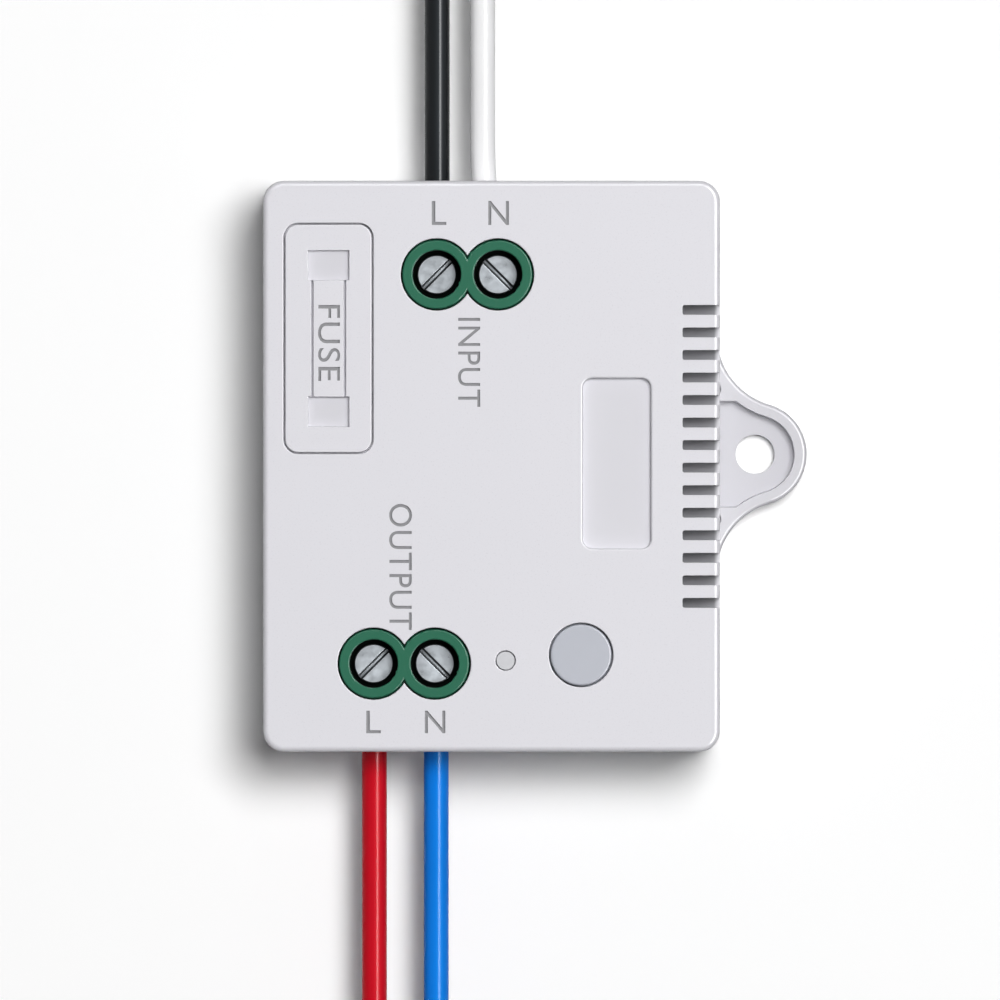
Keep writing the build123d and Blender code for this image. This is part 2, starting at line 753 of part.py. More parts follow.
# One two-pole terminal block. toward is +1 when its wire side faces +Y and -1 when it faces -Y
def terminal_block(name, centre_x, screw_y, toward):
    body_y = screw_y + toward * (block_front - block_back) / 2
    entry_y = screw_y + toward * (block_front - entry_depth / 2)
    throat_end = block_front - entry_depth
    throat_y = screw_y + toward * throat_end / 2
    strip_back = block_back - strip_thickness
    strip_run = strip_front + strip_back
    strip_y = screw_y + toward * (strip_front - strip_back) / 2
    leg_y = screw_y - toward * (strip_back - strip_thickness / 2)
    with BuildPart() as block:
        with BuildSketch(Plane.XY.offset(board_top)):
            with Locations((centre_x, body_y)):
                Rectangle(block_width, block_front + block_back)
        extrude(amount=block_shoulder_height - board_top)
        fillet(block.edges().filter_by(Axis.Z), block_edge_radius)
        with BuildSketch(Plane.XY.offset(block_shoulder_height)):
            add(collar_outline(centre_x, screw_y, 0))
        extrude(amount=collar_top - block_shoulder_height)
        fillet(block.faces().sort_by(Axis.Z)[-1].edges(), collar_edge_radius)
        with BuildSketch(Plane.XY.offset(block_shoulder_height)):
            with Locations((centre_x, screw_y)):
                with GridLocations(pole_pitch, 0, 2, 1):
                    Circle(funnel_radius)
        extrude(amount=collar_top - block_shoulder_height, mode=Mode.SUBTRACT)
        fillet(block.faces().sort_by(Axis.Z)[-1].inner_wires().edges(), funnel_edge_radius)
        with BuildSketch(Plane.XY.offset(chamber_top)):
            with Locations((centre_x, screw_y)):
                with GridLocations(pole_pitch, 0, 2, 1):
                    Circle(screw_shank_radius + screw_hole_gap)
        extrude(amount=block_shoulder_height - chamber_top, mode=Mode.SUBTRACT)
        with BuildSketch(Plane.XY.offset(board_top)):
            with Locations((centre_x, screw_y)):
                with GridLocations(pole_pitch, 0, 2, 1):
                    Rectangle(chamber_width, chamber_depth)
        extrude(amount=chamber_top - board_top, mode=Mode.SUBTRACT)
        with BuildSketch(Plane.XY.offset(lead_height - entry_height / 2)):
            with Locations((centre_x, entry_y)):
                with GridLocations(pole_pitch, 0, 2, 1):
                    Rectangle(entry_width, entry_depth)
        extrude(amount=entry_height, mode=Mode.SUBTRACT)
        with BuildSketch(Plane.XY.offset(lead_height - throat_height / 2)):
            with Locations((centre_x, throat_y)):
                with GridLocations(pole_pitch, 0, 2, 1):
                    Rectangle(throat_width, throat_end)
        extrude(amount=throat_height, mode=Mode.SUBTRACT)
        with BuildSketch(Plane.XY.offset(strip_underside)):
            with Locations((centre_x, strip_y)):
                with GridLocations(pole_pitch, 0, 2, 1):
                    Rectangle(strip_width, strip_run)
        extrude(amount=strip_thickness, mode=Mode.SUBTRACT)
        with BuildSketch(Plane.XY.offset(board_top)):
            with Locations((centre_x, leg_y)):
                with GridLocations(pole_pitch, 0, 2, 1):
                    Rectangle(strip_leg_width, strip_thickness)
        extrude(amount=strip_underside - board_top, mode=Mode.SUBTRACT)
    save(block, f"{name}_terminal_block")

    # Contact strips: the plate that the wire is pressed against, and its leg to the board
    with BuildPart() as strips:
        with BuildSketch(Plane.XY.offset(strip_underside)):
            with Locations((centre_x, strip_y)):
                with GridLocations(pole_pitch, 0, 2, 1):
                    Rectangle(strip_width, strip_run)
        extrude(amount=strip_thickness)
        with BuildSketch(Plane.XY.offset(pin_bottom)):
            with Locations((centre_x, leg_y)):
                with GridLocations(pole_pitch, 0, 2, 1):
                    Rectangle(strip_leg_width, strip_thickness)
        extrude(amount=strip_underside - pin_bottom)
    save(strips, f"{name}_contact_strips")
    return [(x, leg_y) for x in pole_places(centre_x)]


# Terminal screw: cheese head with a tapered slot, turned by an angle, and a shank down to
# the strip
def terminal_screw(name, x, y, slot_angle):
    with BuildPart() as screw:
        with BuildSketch(Plane.XY.offset(screw_shoulder)):
            with Locations((x, y)):
                Circle(screw_head_radius)
        extrude(amount=screw_head_height)
        chamfer(screw.faces().sort_by(Axis.Z)[-1].edges(), screw_edge_chamfer)
        with BuildSketch(Plane.XY.offset(screw_head_top)):
            with Locations(Location((x, y, 0), (0, 0, slot_angle))):
                Rectangle(2 * (screw_head_radius + overrun), screw_slot_width)
        with BuildSketch(Plane.XY.offset(screw_head_top - screw_slot_depth)):
            with Locations(Location((x, y, 0), (0, 0, slot_angle))):
                Rectangle(2 * (screw_head_radius + overrun), screw_slot_floor)
        loft(mode=Mode.SUBTRACT)
        with BuildSketch(Plane.XY.offset(strip_top + screw_tip_gap)):
            with Locations((x, y)):
                Circle(screw_shank_radius)
        extrude(amount=screw_shoulder - strip_top - screw_tip_gap)
        chamfer(screw.faces().sort_by(Axis.Z)[0].edges(), screw_edge_chamfer)
    save(screw, name)


# Clamp cage: a square ring that the screw lifts to pinch the wire against the strip
def clamp_cage(name, x, y):
    opening_width = cage_width - 2 * cage_wall
    with BuildPart() as cage:
        with BuildSketch(Plane.XZ.offset(-y - cage_depth / 2)) as ring:
            with Locations((x, (cage_bottom + cage_top) / 2)):
                RectangleRounded(cage_width, cage_top - cage_bottom, cage_corner_radius)
            with Locations((x, cage_floor + cage_opening_height / 2)):
                Rectangle(opening_width, cage_opening_height, mode=Mode.SUBTRACT)
        extrude(amount=cage_depth)
        with Locations((x, y, cage_top)):
            Hole(screw_shank_radius + slip_fit, cage_top_bar)
    save(cage, name)


pin_holes = {}
pin_holes["strip"] = terminal_block("input", input_x, input_y, 1)
pin_holes["strip"] += terminal_block("output", output_x, output_y, -1)

for row, centre_x, row_y in (("input", input_x, input_y), ("output", output_x, output_y)):
    for pole, pole_x, slot_angle in zip(("live", "neutral"), pole_places(centre_x), (45, -45)):
        terminal_screw(f"{row}_{pole}_screw", pole_x, row_y, slot_angle)
        clamp_cage(f"{row}_{pole}_clamp", pole_x, row_y)


# Corner radii of a lead's route, from the shorter run beside each corner and its turn
def bend_radii(points):
    runs = [Vector(*b) - Vector(*a) for a, b in zip(points, points[1:])]
    radii = []
    for before, after in zip(runs, runs[1:]):
        half_turn = math.radians(before.get_angle(after)) / 2
        radii.append(bend_share * min(before.length, after.length) / math.tan(half_turn))
    return radii


# One lead: the insulation along its route, and the copper core that stands out at both ends
def lead(name, points):
    radii = bend_radii(points)
    first_run = (Vector(*points[1]) - Vector(*points[0])).normalized()
    last_run = (Vector(*points[-1]) - Vector(*points[-2])).normalized()
    core_points = [
        Vector(*points[0]) - first_run * (strip_start - core_start),
        *[Vector(*point) for point in points[1:-1]],
        Vector(*points[-1]) + last_run * core_tip,
    ]
    with BuildPart() as insulation:
        with BuildLine() as route:
            FilletPolyline(*points, radius=radii)
        with BuildSketch(Plane(origin=route.line @ 0, z_dir=route.line % 0)):
            Circle(lead_radius)
            Circle(core_radius + core_gap, mode=Mode.SUBTRACT)
        sweep()
    save(insulation, f"{name}_lead_insulation")
    with BuildPart() as copper:
        with BuildLine() as core_route:
            FilletPolyline(*core_points, radius=radii)
        with BuildSketch(Plane(origin=core_route.line @ 0, z_dir=core_route.line % 0)):
            Circle(core_radius)
        sweep()
    save(copper, f"{name}_lead_core")
    section = math.pi * (lead_radius**2 - (core_radius + core_gap) ** 2)
    route_length = sum(edge.length for edge in route.edges())
    print(
        name,
        "lead radii",
        [round(radius, 1) for radius in radii],
        "length",
        round(route_length, 2),
        "volume over section times length",
        round(insulation.part.volume / (section * route_length), 4),
    )


# Routes: level and straight out of the terminal, then a short slope down to the surface
black_route = [
    (black_x, input_y + strip_start, lead_height),
    (black_x, input_level_y, lead_height),
    (black_x, input_level_y + lead_drop_run, lying_height),
    (black_x, input_level_y + lead_drop_run + lead_end_run, lying_height),
]
white_pole_x = input_x + pole_pitch / 2
white_slope = (white_x - white_pole_x) / (white_bend_y - input_y)
white_route = [
    (white_pole_x + white_slope * strip_start, input_y + strip_start, lead_height),
    (white_x, white_bend_y, lead_height),
    (white_x, input_level_y, lead_height),
    (white_x, input_level_y + lead_drop_run, lying_height),
    (white_x, input_level_y + lead_drop_run + lead_end_run, lying_height),
]
red_route = [
    (red_x, output_y - strip_start, lead_height),
    (red_x, output_level_y, lead_height),
    (red_x, output_level_y - lead_drop_run, lying_height),
    (red_x, output_level_y - lead_drop_run - lead_end_run, lying_height),
]
blue_route = [(blue_x, y, z) for x, y, z in red_route]
lead("black", black_route)
lead("white", white_route)
lead("red", red_route)
lead("blue", blue_route)

# Glass fuse: tube, two caps and the thin wire between them
cap_reach = fuse_length / 2 - fuse_cap_wall
with BuildPart() as fuse_tube:
    with BuildSketch(Plane.XZ.offset(-door_y - cap_reach)):
        with Locations((door_x, fuse_axis_height)):
            Circle(fuse_cap_radius - fuse_cap_wall - slip_fit)
            Circle(fuse_cap_radius - fuse_cap_wall - fuse_tube_wall, mode=Mode.SUBTRACT)
    extrude(amount=2 * cap_reach)
save(fuse_tube, "fuse_tube")

with BuildPart() as fuse_caps:
    for cap_side in (1, -1):
        cap_end = door_y + cap_side * fuse_length / 2
        with BuildSketch(Plane.XZ.offset(-cap_end)):
            with Locations((door_x, fuse_axis_height)):
                Circle(fuse_cap_radius)
        extrude(amount=cap_side * fuse_cap_length)
        with BuildSketch(Plane.XZ.offset(-cap_end + cap_side * fuse_cap_wall)):
            with Locations((door_x, fuse_axis_height)):
                Circle(fuse_cap_radius - fuse_cap_wall)
        extrude(amount=cap_side * (fuse_cap_length - fuse_cap_wall), mode=Mode.SUBTRACT)
save(fuse_caps, "fuse_caps")

with BuildPart() as fuse_wire:
    with BuildSketch(Plane.XZ.offset(-door_y - cap_reach)):
        with Locations((door_x, fuse_axis_height)):
            Circle(fuse_wire_radius)
    extrude(amount=2 * cap_reach)
save(fuse_wire, "fuse_wire")

# Spring clips that hold the fuse's caps, on legs through the board
clip_spacing = fuse_length - fuse_cap_length
clip_radius = fuse_cap_radius + slip_fit + clip_thickness
with BuildPart() as fuse_clips:
    for clip_side in (1, -1):
        clip_end = door_y + clip_side * clip_spacing / 2 + clip_length / 2
        with BuildSketch(Plane.XZ.offset(-clip_end)):
            with Locations((door_x, board_top + clip_thickness / 2)):
                Rectangle(clip_foot_width, clip_thickness)
            riser_height = fuse_axis_height - board_top
            with Locations((door_x, board_top + riser_height / 2)):
                Rectangle(clip_foot_width, riser_height)
                Rectangle(
                    clip_foot_width - 2 * clip_thickness,
                    riser_height - 2 * clip_thickness,
                    mode=Mode.SUBTRACT,
                )
            with Locations((door_x, fuse_axis_height)):
                Circle(clip_radius)
                Circle(clip_radius - clip_thickness, mode=Mode.SUBTRACT)
            with Locations((door_x, fuse_axis_height + clip_radius)):
                Rectangle(clip_mouth_width, 2 * clip_radius, mode=Mode.SUBTRACT)
        extrude(amount=clip_length)
    with BuildSketch(Plane.XY.offset(pin_bottom)):
        with Locations((door_x, door_y)):
            with GridLocations(0, clip_spacing, 1, 2) as clip_grid:
                Circle(clip_pin_radius)
    extrude(amount=board_top - pin_bottom)
save(fuse_clips, "fuse_clips")
pin_holes["clip"] = [(door_x, door_y + side * clip_spacing / 2) for side in (1, -1)]

# Relay case, open below
with BuildPart() as relay_case:
    with BuildSketch(Plane.XY.offset(board_top)):
        with Locations((relay_x, relay_y)):
            Rectangle(relay_width, relay_length)
    extrude(amount=relay_height)
    fillet(relay_case.edges().filter_by(Axis.Z), relay_edge_radius)
    fillet(relay_case.faces().sort_by(Axis.Z)[-1].edges(), relay_edge_radius)
    with BuildSketch(Plane.XY.offset(board_top)):
        with Locations((relay_x, relay_y)):
            Rectangle(relay_width - 2 * relay_wall, relay_length - 2 * relay_wall)
    extrude(amount=relay_height - relay_wall, mode=Mode.SUBTRACT)
save(relay_case, "relay_case")

with BuildPart() as relay_base:
    with BuildSketch(Plane.XY.offset(relay_base_bottom)):
        with Locations((relay_x, relay_y)):
            Rectangle(
                relay_width - 2 * relay_wall - 2 * slip_fit,
                relay_length - 2 * relay_wall - 2 * slip_fit,
            )
            with GridLocations(relay_pin_spacing_x, relay_pin_spacing_y, 2, 2):
                Circle(relay_pin_radius, mode=Mode.SUBTRACT)
    extrude(amount=relay_base_thickness)
save(relay_base, "relay_base")

with BuildPart() as relay_pins:
    with BuildSketch(Plane.XY.offset(pin_bottom)):
        with Locations((relay_x, relay_y)):
            with GridLocations(relay_pin_spacing_x, relay_pin_spacing_y, 2, 2):
                Circle(relay_pin_radius)
    extrude(amount=relay_base_top - pin_bottom)
save(relay_pins, "relay_pins")
pin_holes["relay"] = [
    (relay_x + side_x * relay_pin_spacing_x / 2, relay_y + side_y * relay_pin_spacing_y / 2)
    for side_x in (1, -1)
    for side_y in (1, -1)
]

# Relay magnet: bent yoke, iron core with its head, bobbin and copper winding
coil_place = (relay_x, relay_y + coil_y)
with BuildPart() as relay_yoke:
    yoke_front = coil_y + core_head_radius
    with BuildSketch(Plane.XY.offset(relay_base_top)):
        with Locations((relay_x, relay_y + (yoke_y + yoke_front) / 2)):
            Rectangle(yoke_width, yoke_front - yoke_y)
    extrude(amount=yoke_thickness)
    with BuildSketch(Plane.XY.offset(relay_base_top)):
        with Locations((relay_x, relay_y + yoke_y + yoke_thickness / 2)):
            Rectangle(yoke_width, yoke_thickness)
    extrude(amount=armature_underside - slip_fit - relay_base_top)
save(relay_yoke, "relay_yoke")

with BuildPart() as relay_core:
    with BuildSketch(Plane.XY.offset(coil_bottom)):
        with Locations(coil_place):
            Circle(core_post_radius)
    extrude(amount=core_top - coil_bottom)
    with BuildSketch(Plane.XY.offset(core_top)):
        with Locations(coil_place):
            Circle(core_head_radius)
    extrude(amount=-core_head_height)
save(relay_core, "relay_core")

with BuildPart() as relay_bobbin:
    for flange_bottom in (coil_bottom, bobbin_top - bobbin_flange):
        with BuildSketch(Plane.XY.offset(flange_bottom)):
            with Locations(coil_place):
                Circle(bobbin_radius)
        extrude(amount=bobbin_flange)
    with BuildSketch(Plane.XY.offset(coil_bottom)):
        with Locations(coil_place):
            Circle(bobbin_tube_radius)
    extrude(amount=bobbin_top - coil_bottom)
    with Locations((relay_x, relay_y + coil_y, bobbin_top)):
        Hole(core_post_radius, bobbin_top - coil_bottom)
save(relay_bobbin, "relay_bobbin")

with BuildPart() as relay_winding:
    with BuildSketch(Plane.XY.offset(coil_bottom + bobbin_flange)):
        with Locations(coil_place):
            Circle(coil_radius)
            Circle(bobbin_tube_radius, mode=Mode.SUBTRACT)
    extrude(amount=bobbin_top - coil_bottom - 2 * bobbin_flange)
save(relay_winding, "relay_winding")

# Armature that rocks on the yoke, with the contact blade on its back
with BuildPart() as relay_armature:
    armature_back = hinge_y - armature_overhang
    with BuildSketch(Plane.XY.offset(armature_underside)):
        with Locations((relay_x, relay_y + armature_back + armature_length / 2)):
            Rectangle(armature_width, armature_length)
    extrude(amount=armature_thickness)
save(relay_armature, "relay_armature")

with BuildPart() as contact_blade:
    blade_back = armature_back + armature_length / 2
    with BuildSketch(Plane.XY.offset(blade_underside)):
        with Locations((relay_x, relay_y + (blade_back + blade_end) / 2)):
            Rectangle(blade_width, blade_end - blade_back)
    extrude(amount=blade_thickness)
    with BuildSketch(Plane.XY.offset(contact_underside)):
        with Locations((relay_x, relay_y + contact_y)):
            Circle(contact_radius)
    extrude(amount=contact_height)
save(contact_blade, "contact_blade")

# Fixed contact on its post
with BuildPart() as fixed_contact:
    post_top = contact_underside - contact_gap - contact_height
    with BuildSketch(Plane.XY.offset(relay_base_top)):
        with Locations((relay_x, relay_y + contact_y)):
            Rectangle(post_width, post_thickness)
    extrude(amount=post_top - relay_base_top)
    with BuildSketch(Plane.XY.offset(post_top)):
        with Locations((relay_x, relay_y + contact_y)):
            Circle(contact_radius)
    extrude(amount=contact_height)
save(fixed_contact, "fixed_contact")

# Transformer: ferrite frame with a middle limb, its windings and the base that carries it
transformer_bottom = board_top + transformer_foot
transformer_height = ceiling - transformer_headroom - transformer_bottom
transformer_place = (transformer_x, transformer_y)
window_width = (transformer_width - 2 * transformer_limb - transformer_middle) / 2
window_height = transformer_height - 2 * transformer_limb
window_pitch = window_width + transformer_middle
with BuildPart() as transformer_core:
    with BuildSketch(Plane.XZ.offset(-transformer_y - transformer_depth / 2)):
        with Locations((transformer_x, transformer_bottom + transformer_height / 2)):
            Rectangle(transformer_width, transformer_height)
            with GridLocations(window_pitch, 0, 2, 1):
                Rectangle(window_width, window_height, mode=Mode.SUBTRACT)
    extrude(amount=transformer_depth)
save(transformer_core, "transformer_core")

with BuildPart() as transformer_winding:
    with BuildSketch(Plane.XY.offset(transformer_bottom + transformer_limb + winding_gap)):
        with Locations(transformer_place):
            RectangleRounded(
                transformer_middle + 2 * (window_width - winding_gap),
                winding_depth,
                transformer_middle / 2,
            )
            Rectangle(
                transformer_middle + 2 * winding_gap,
                transformer_depth + 2 * winding_gap,
                mode=Mode.SUBTRACT,
            )
    extrude(amount=window_height - 2 * winding_gap)
save(transformer_winding, "transformer_winding")

pin_row = transformer_pin_spacing_y / 2
with BuildPart() as transformer_base:
    with BuildSketch(Plane.XY.offset(board_top)):
        with Locations(transformer_place):
            Rectangle(transformer_base_width, transformer_base_depth)
    extrude(amount=transformer_foot)
    with BuildSketch(Plane.XY.offset(pin_bottom)):
        with Locations(transformer_place):
            with GridLocations(transformer_pin_spacing_x, transformer_pin_spacing_y, 4, 2):
                Circle(transformer_pin_radius)
    extrude(amount=board_top - pin_bottom)
save(transformer_base, "transformer_base")
pin_holes["transformer"] = [
    (transformer_x + pin_step * transformer_pin_spacing_x, transformer_y + side * pin_row)
    for pin_step in (-1.5, -0.5, 0.5, 1.5)
    for side in (1, -1)
]


# Round capacitor with a crimped foot and a vent cross on its top
def round_capacitor(name, x, y, radius, height):
    with BuildPart() as capacitor:
        with BuildSketch(Plane.XY.offset(board_top)):
            with Locations((x, y)):
                Circle(radius)
        extrude(amount=height)
        fillet(capacitor.faces().sort_by(Axis.Z)[-1].edges(), capacitor_edge_radius)
        with BuildSketch(Plane.XY.offset(board_top + capacitor_crimp_height)):
            with Locations((x, y)):
                Circle(radius)
                Circle(radius - capacitor_crimp_depth, mode=Mode.SUBTRACT)
        extrude(amount=capacitor_crimp_width, mode=Mode.SUBTRACT)
        with BuildSketch(Plane.XY.offset(board_top + height)):
            with Locations((x, y)):
                Rectangle(radius, capacitor_cross_width)
                Rectangle(capacitor_cross_width, radius)
        extrude(amount=-capacitor_cross_depth, mode=Mode.SUBTRACT)
        with BuildSketch(Plane.XY.offset(pin_bottom)):
            with Locations((x, y)):
                with GridLocations(capacitor_leg_spacing, 0, 2, 1):
                    Circle(capacitor_leg_radius)
        extrude(amount=board_top - pin_bottom)
    save(capacitor, name)
    return [(x + side * capacitor_leg_spacing / 2, y) for side in (1, -1)]


pin_holes["capacitor"] = round_capacitor("bulk_capacitor", bulk_x, bulk_y, bulk_radius, bulk_height)
pin_holes["capacitor"] += round_capacitor(
    "reservoir_capacitor", reservoir_x, reservoir_y, reservoir_radius, reservoir_height
)

# Film capacitor across the mains
with BuildPart() as film_capacitor:
    with BuildSketch(Plane.XY.offset(board_top)):
        with Locations((film_x, film_y)):
            Rectangle(film_width, film_depth)
    extrude(amount=film_height)
    fillet(film_capacitor.faces().sort_by(Axis.Z)[-1].edges(), film_edge_radius)
    with BuildSketch(Plane.XY.offset(pin_bottom)):
        with Locations((film_x, film_y)):
            with GridLocations(film_leg_spacing, 0, 2, 1):
                Circle(thin_leg_radius)
    extrude(amount=board_top - pin_bottom)
save(film_capacitor, "film_capacitor")
pin_holes["film"] = [(film_x + side * film_leg_spacing / 2, film_y) for side in (1, -1)]

# Varistor disc, standing on its two legs
with BuildPart() as varistor:
    disc_height = board_top + varistor_lift + varistor_radius
    with BuildSketch(Plane.XZ.offset(-varistor_y - varistor_thickness / 2)):
        with Locations((varistor_x, disc_height)):
            Circle(varistor_radius)
    extrude(amount=varistor_thickness)
    fillet(varistor.edges().filter_by(GeomType.CIRCLE), varistor_thickness / 3)
    for leg_side in (1, -1):
        leg_x = varistor_x + leg_side * varistor_leg_spacing / 2
        with BuildSketch(Plane.XY.offset(pin_bottom)):
            with Locations((leg_x, varistor_y + leg_side * varistor_skew)):
                Circle(thin_leg_radius)
        extrude(amount=disc_height - pin_bottom)
save(varistor, "varistor")
pin_holes["varistor"] = [
    (varistor_x + side * varistor_leg_spacing / 2, varistor_y + side * varistor_skew)
    for side in (1, -1)
]

# Choke: a ferrite drum with its winding in the waist
with BuildPart() as choke_drum:
    with BuildSketch(Plane.XY.offset(board_top)):
        with Locations((choke_x, choke_y)):
            Circle(choke_radius)
    extrude(amount=choke_flange)
    with BuildSketch(Plane.XY.offset(board_top + choke_height)):
        with Locations((choke_x, choke_y)):
            Circle(choke_radius)
    extrude(amount=-choke_flange)
    with BuildSketch(Plane.XY.offset(board_top)):
        with Locations((choke_x, choke_y)):
            Circle(choke_waist_radius / 2)
    extrude(amount=choke_height)
    with BuildSketch(Plane.XY.offset(pin_bottom)):
        with Locations((choke_x, choke_y)):
            with GridLocations(choke_leg_spacing, 0, 2, 1):
                Circle(thin_leg_radius)
    extrude(amount=board_top - pin_bottom)
save(choke_drum, "choke_drum")

with BuildPart() as choke_winding:
    with BuildSketch(Plane.XY.offset(board_top + choke_flange)):
        with Locations((choke_x, choke_y)):
            Circle(choke_waist_radius)
            Circle(choke_waist_radius / 2, mode=Mode.SUBTRACT)
    extrude(amount=choke_height - 2 * choke_flange)
save(choke_winding, "choke_winding")
pin_holes["choke"] = [(choke_x + side * choke_leg_spacing / 2, choke_y) for side in (1, -1)]

# Bridge rectifier and control chip, flat on the board with their leads beside them
with BuildPart() as bridge_rectifier:
    with BuildSketch(Plane.XY.offset(board_top + bridge_lead_thickness)):
        with Locations((bridge_x, bridge_y)):
            Rectangle(bridge_width, bridge_length)
    extrude(amount=bridge_height)
    with BuildSketch(Plane.XY.offset(board_top)):
        with Locations((bridge_x, bridge_y)):
            with GridLocations(bridge_lead_spacing, 0, 2, 1):
                Rectangle(bridge_lead_width, bridge_length + 2 * bridge_lead_reach)
    extrude(amount=bridge_lead_thickness)
save(bridge_rectifier, "bridge_rectifier")

with BuildPart() as control_chip:
    with BuildSketch(Plane.XY.offset(board_top + chip_lead_thickness)):
        with Locations((chip_x, chip_y)):
            Rectangle(chip_width, chip_length)
    extrude(amount=chip_height)
    with BuildSketch(Plane.XY.offset(board_top)):
        with Locations((chip_x, chip_y)):
            with GridLocations(0, chip_lead_pitch, 1, chip_lead_count):
                Rectangle(chip_width + 2 * chip_lead_reach, chip_lead_width)
    extrude(amount=chip_lead_thickness)
save(control_chip, "control_chip")

# Radio board on its pin header, with a metal shield over the circuit
radio_top = radio_underside + radio_thickness
header_y = radio_y - radio_length / 2 + radio_pin_inset
with BuildPart() as radio_board:
    with BuildSketch(Plane.XY.offset(radio_underside)):
        with Locations((radio_x, radio_y)):
            Rectangle(radio_width, radio_length)
        with Locations((radio_x, header_y)):
            with GridLocations(radio_pin_pitch, 0, radio_pin_count, 1):
                Rectangle(radio_pin_width, radio_pin_width, mode=Mode.SUBTRACT)
    extrude(amount=radio_thickness)
save(radio_board, "radio_board")

with BuildPart() as radio_shield:
    shield_y = radio_y + radio_shield_offset
    with BuildSketch(Plane.XY.offset(radio_top)):
        with Locations((radio_x, shield_y)):
            Rectangle(radio_shield_width, radio_shield_length)
    extrude(amount=radio_shield_height)
    fillet(radio_shield.faces().sort_by(Axis.Z)[-1].edges(), radio_shield_wall)
    with BuildSketch(Plane.XY.offset(radio_top)):
        with Locations((radio_x, shield_y)):
            Rectangle(
                radio_shield_width - 2 * radio_shield_wall,
                radio_shield_length - 2 * radio_shield_wall,
            )
    extrude(amount=radio_shield_height - radio_shield_wall, mode=Mode.SUBTRACT)
save(radio_shield, "radio_shield")

with BuildPart() as radio_header:
    header_length = radio_pin_pitch * radio_pin_count
    with BuildSketch(Plane.XY.offset(board_top)):
        with Locations((radio_x, header_y)):
            Rectangle(header_length, radio_strip_width)
    extrude(amount=radio_underside - board_top)
    with BuildSketch(Plane.XY.offset(pin_bottom)):
        with Locations((radio_x, header_y)):
            with GridLocations(radio_pin_pitch, 0, radio_pin_count, 1):
                Rectangle(radio_pin_width, radio_pin_width)
    extrude(amount=radio_top + radio_pin_width - pin_bottom)
save(radio_header, "radio_header")

# Circuit board, cut round the cover's bosses and drilled for every pin
with BuildPart() as main_board:
    with BuildSketch(Plane.XY.offset(board_underside)):
        RectangleRounded(
            inner_width - 2 * board_margin,
            inner_length - 2 * board_margin,
            board_corner_radius,
        )
        with GridLocations(boss_spacing_x, boss_spacing_y, 2, 2):
            Rectangle(board_notch, board_notch, mode=Mode.SUBTRACT)
        with Locations(*pin_holes["strip"]):
            Rectangle(
                strip_leg_width + 2 * pin_hole_gap,
                strip_thickness + 2 * pin_hole_gap,
                mode=Mode.SUBTRACT,
            )
        for group, pin_radius in (
            ("clip", clip_pin_radius),
            ("relay", relay_pin_radius),
            ("transformer", transformer_pin_radius),
            ("capacitor", capacitor_leg_radius),
            ("film", thin_leg_radius),
            ("varistor", thin_leg_radius),
            ("choke", thin_leg_radius),
        ):
            with Locations(*pin_holes[group]):
                Circle(pin_radius + pin_hole_gap, mode=Mode.SUBTRACT)
        with Locations((radio_x, header_y)):
            with GridLocations(radio_pin_pitch, 0, radio_pin_count, 1):
                Circle(radio_pin_width / 2 + 2 * pin_hole_gap, mode=Mode.SUBTRACT)
        with Locations((button_x, button_y)):
            with GridLocations(tact_leg_spacing_x, tact_leg_spacing_y, 2, 2):
                Circle(tact_leg_width / 2 + pin_hole_gap, mode=Mode.SUBTRACT)
    extrude(amount=board_thickness)
save(main_board, "main_board")
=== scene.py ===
import math

import bmesh
import bpy
from mathutils import Matrix, Vector


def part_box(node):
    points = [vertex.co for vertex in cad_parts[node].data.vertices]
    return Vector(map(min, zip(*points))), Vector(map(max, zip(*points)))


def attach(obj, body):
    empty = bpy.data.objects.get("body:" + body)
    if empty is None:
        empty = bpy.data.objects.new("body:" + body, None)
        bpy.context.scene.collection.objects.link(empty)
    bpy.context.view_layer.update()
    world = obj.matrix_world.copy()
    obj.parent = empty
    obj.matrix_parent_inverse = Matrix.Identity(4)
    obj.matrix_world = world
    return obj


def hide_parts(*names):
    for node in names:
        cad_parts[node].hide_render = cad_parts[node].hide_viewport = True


# Wireless switch module: a mains relay in a flat moulded housing, lying on its back.
# Metres, in the CAD frame: +X to the mounting ear, +Y to the input terminals, +Z out of the face.
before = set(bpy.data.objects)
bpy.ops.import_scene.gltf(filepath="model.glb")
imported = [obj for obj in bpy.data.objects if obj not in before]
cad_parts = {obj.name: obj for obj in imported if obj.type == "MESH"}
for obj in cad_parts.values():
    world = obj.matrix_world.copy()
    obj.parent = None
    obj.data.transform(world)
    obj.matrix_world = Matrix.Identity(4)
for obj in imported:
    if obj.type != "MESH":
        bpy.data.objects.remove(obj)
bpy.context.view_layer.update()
scene = bpy.context.scene
scene.view_settings.view_transform = "Standard"


# Camera
# A long lens straight above the face, as in a catalogue picture. At the height of the
# face the picture is 122.55 mm wide.
face_height = 0.022
view_width = 0.12255
view_middle = (0.00104, -0.00414)
camera_distance = 4.0
film_width = 36
camera = bpy.data.cameras.new("camera")
camera.sensor_width = film_width
camera.lens = film_width * camera_distance / view_width
camera.clip_start = 0.05
camera.clip_end = 30
camera_object = bpy.data.objects.new("camera", camera)
camera_object.location = (*view_middle, face_height + camera_distance)
scene.collection.objects.link(camera_object)
scene.camera = camera_object


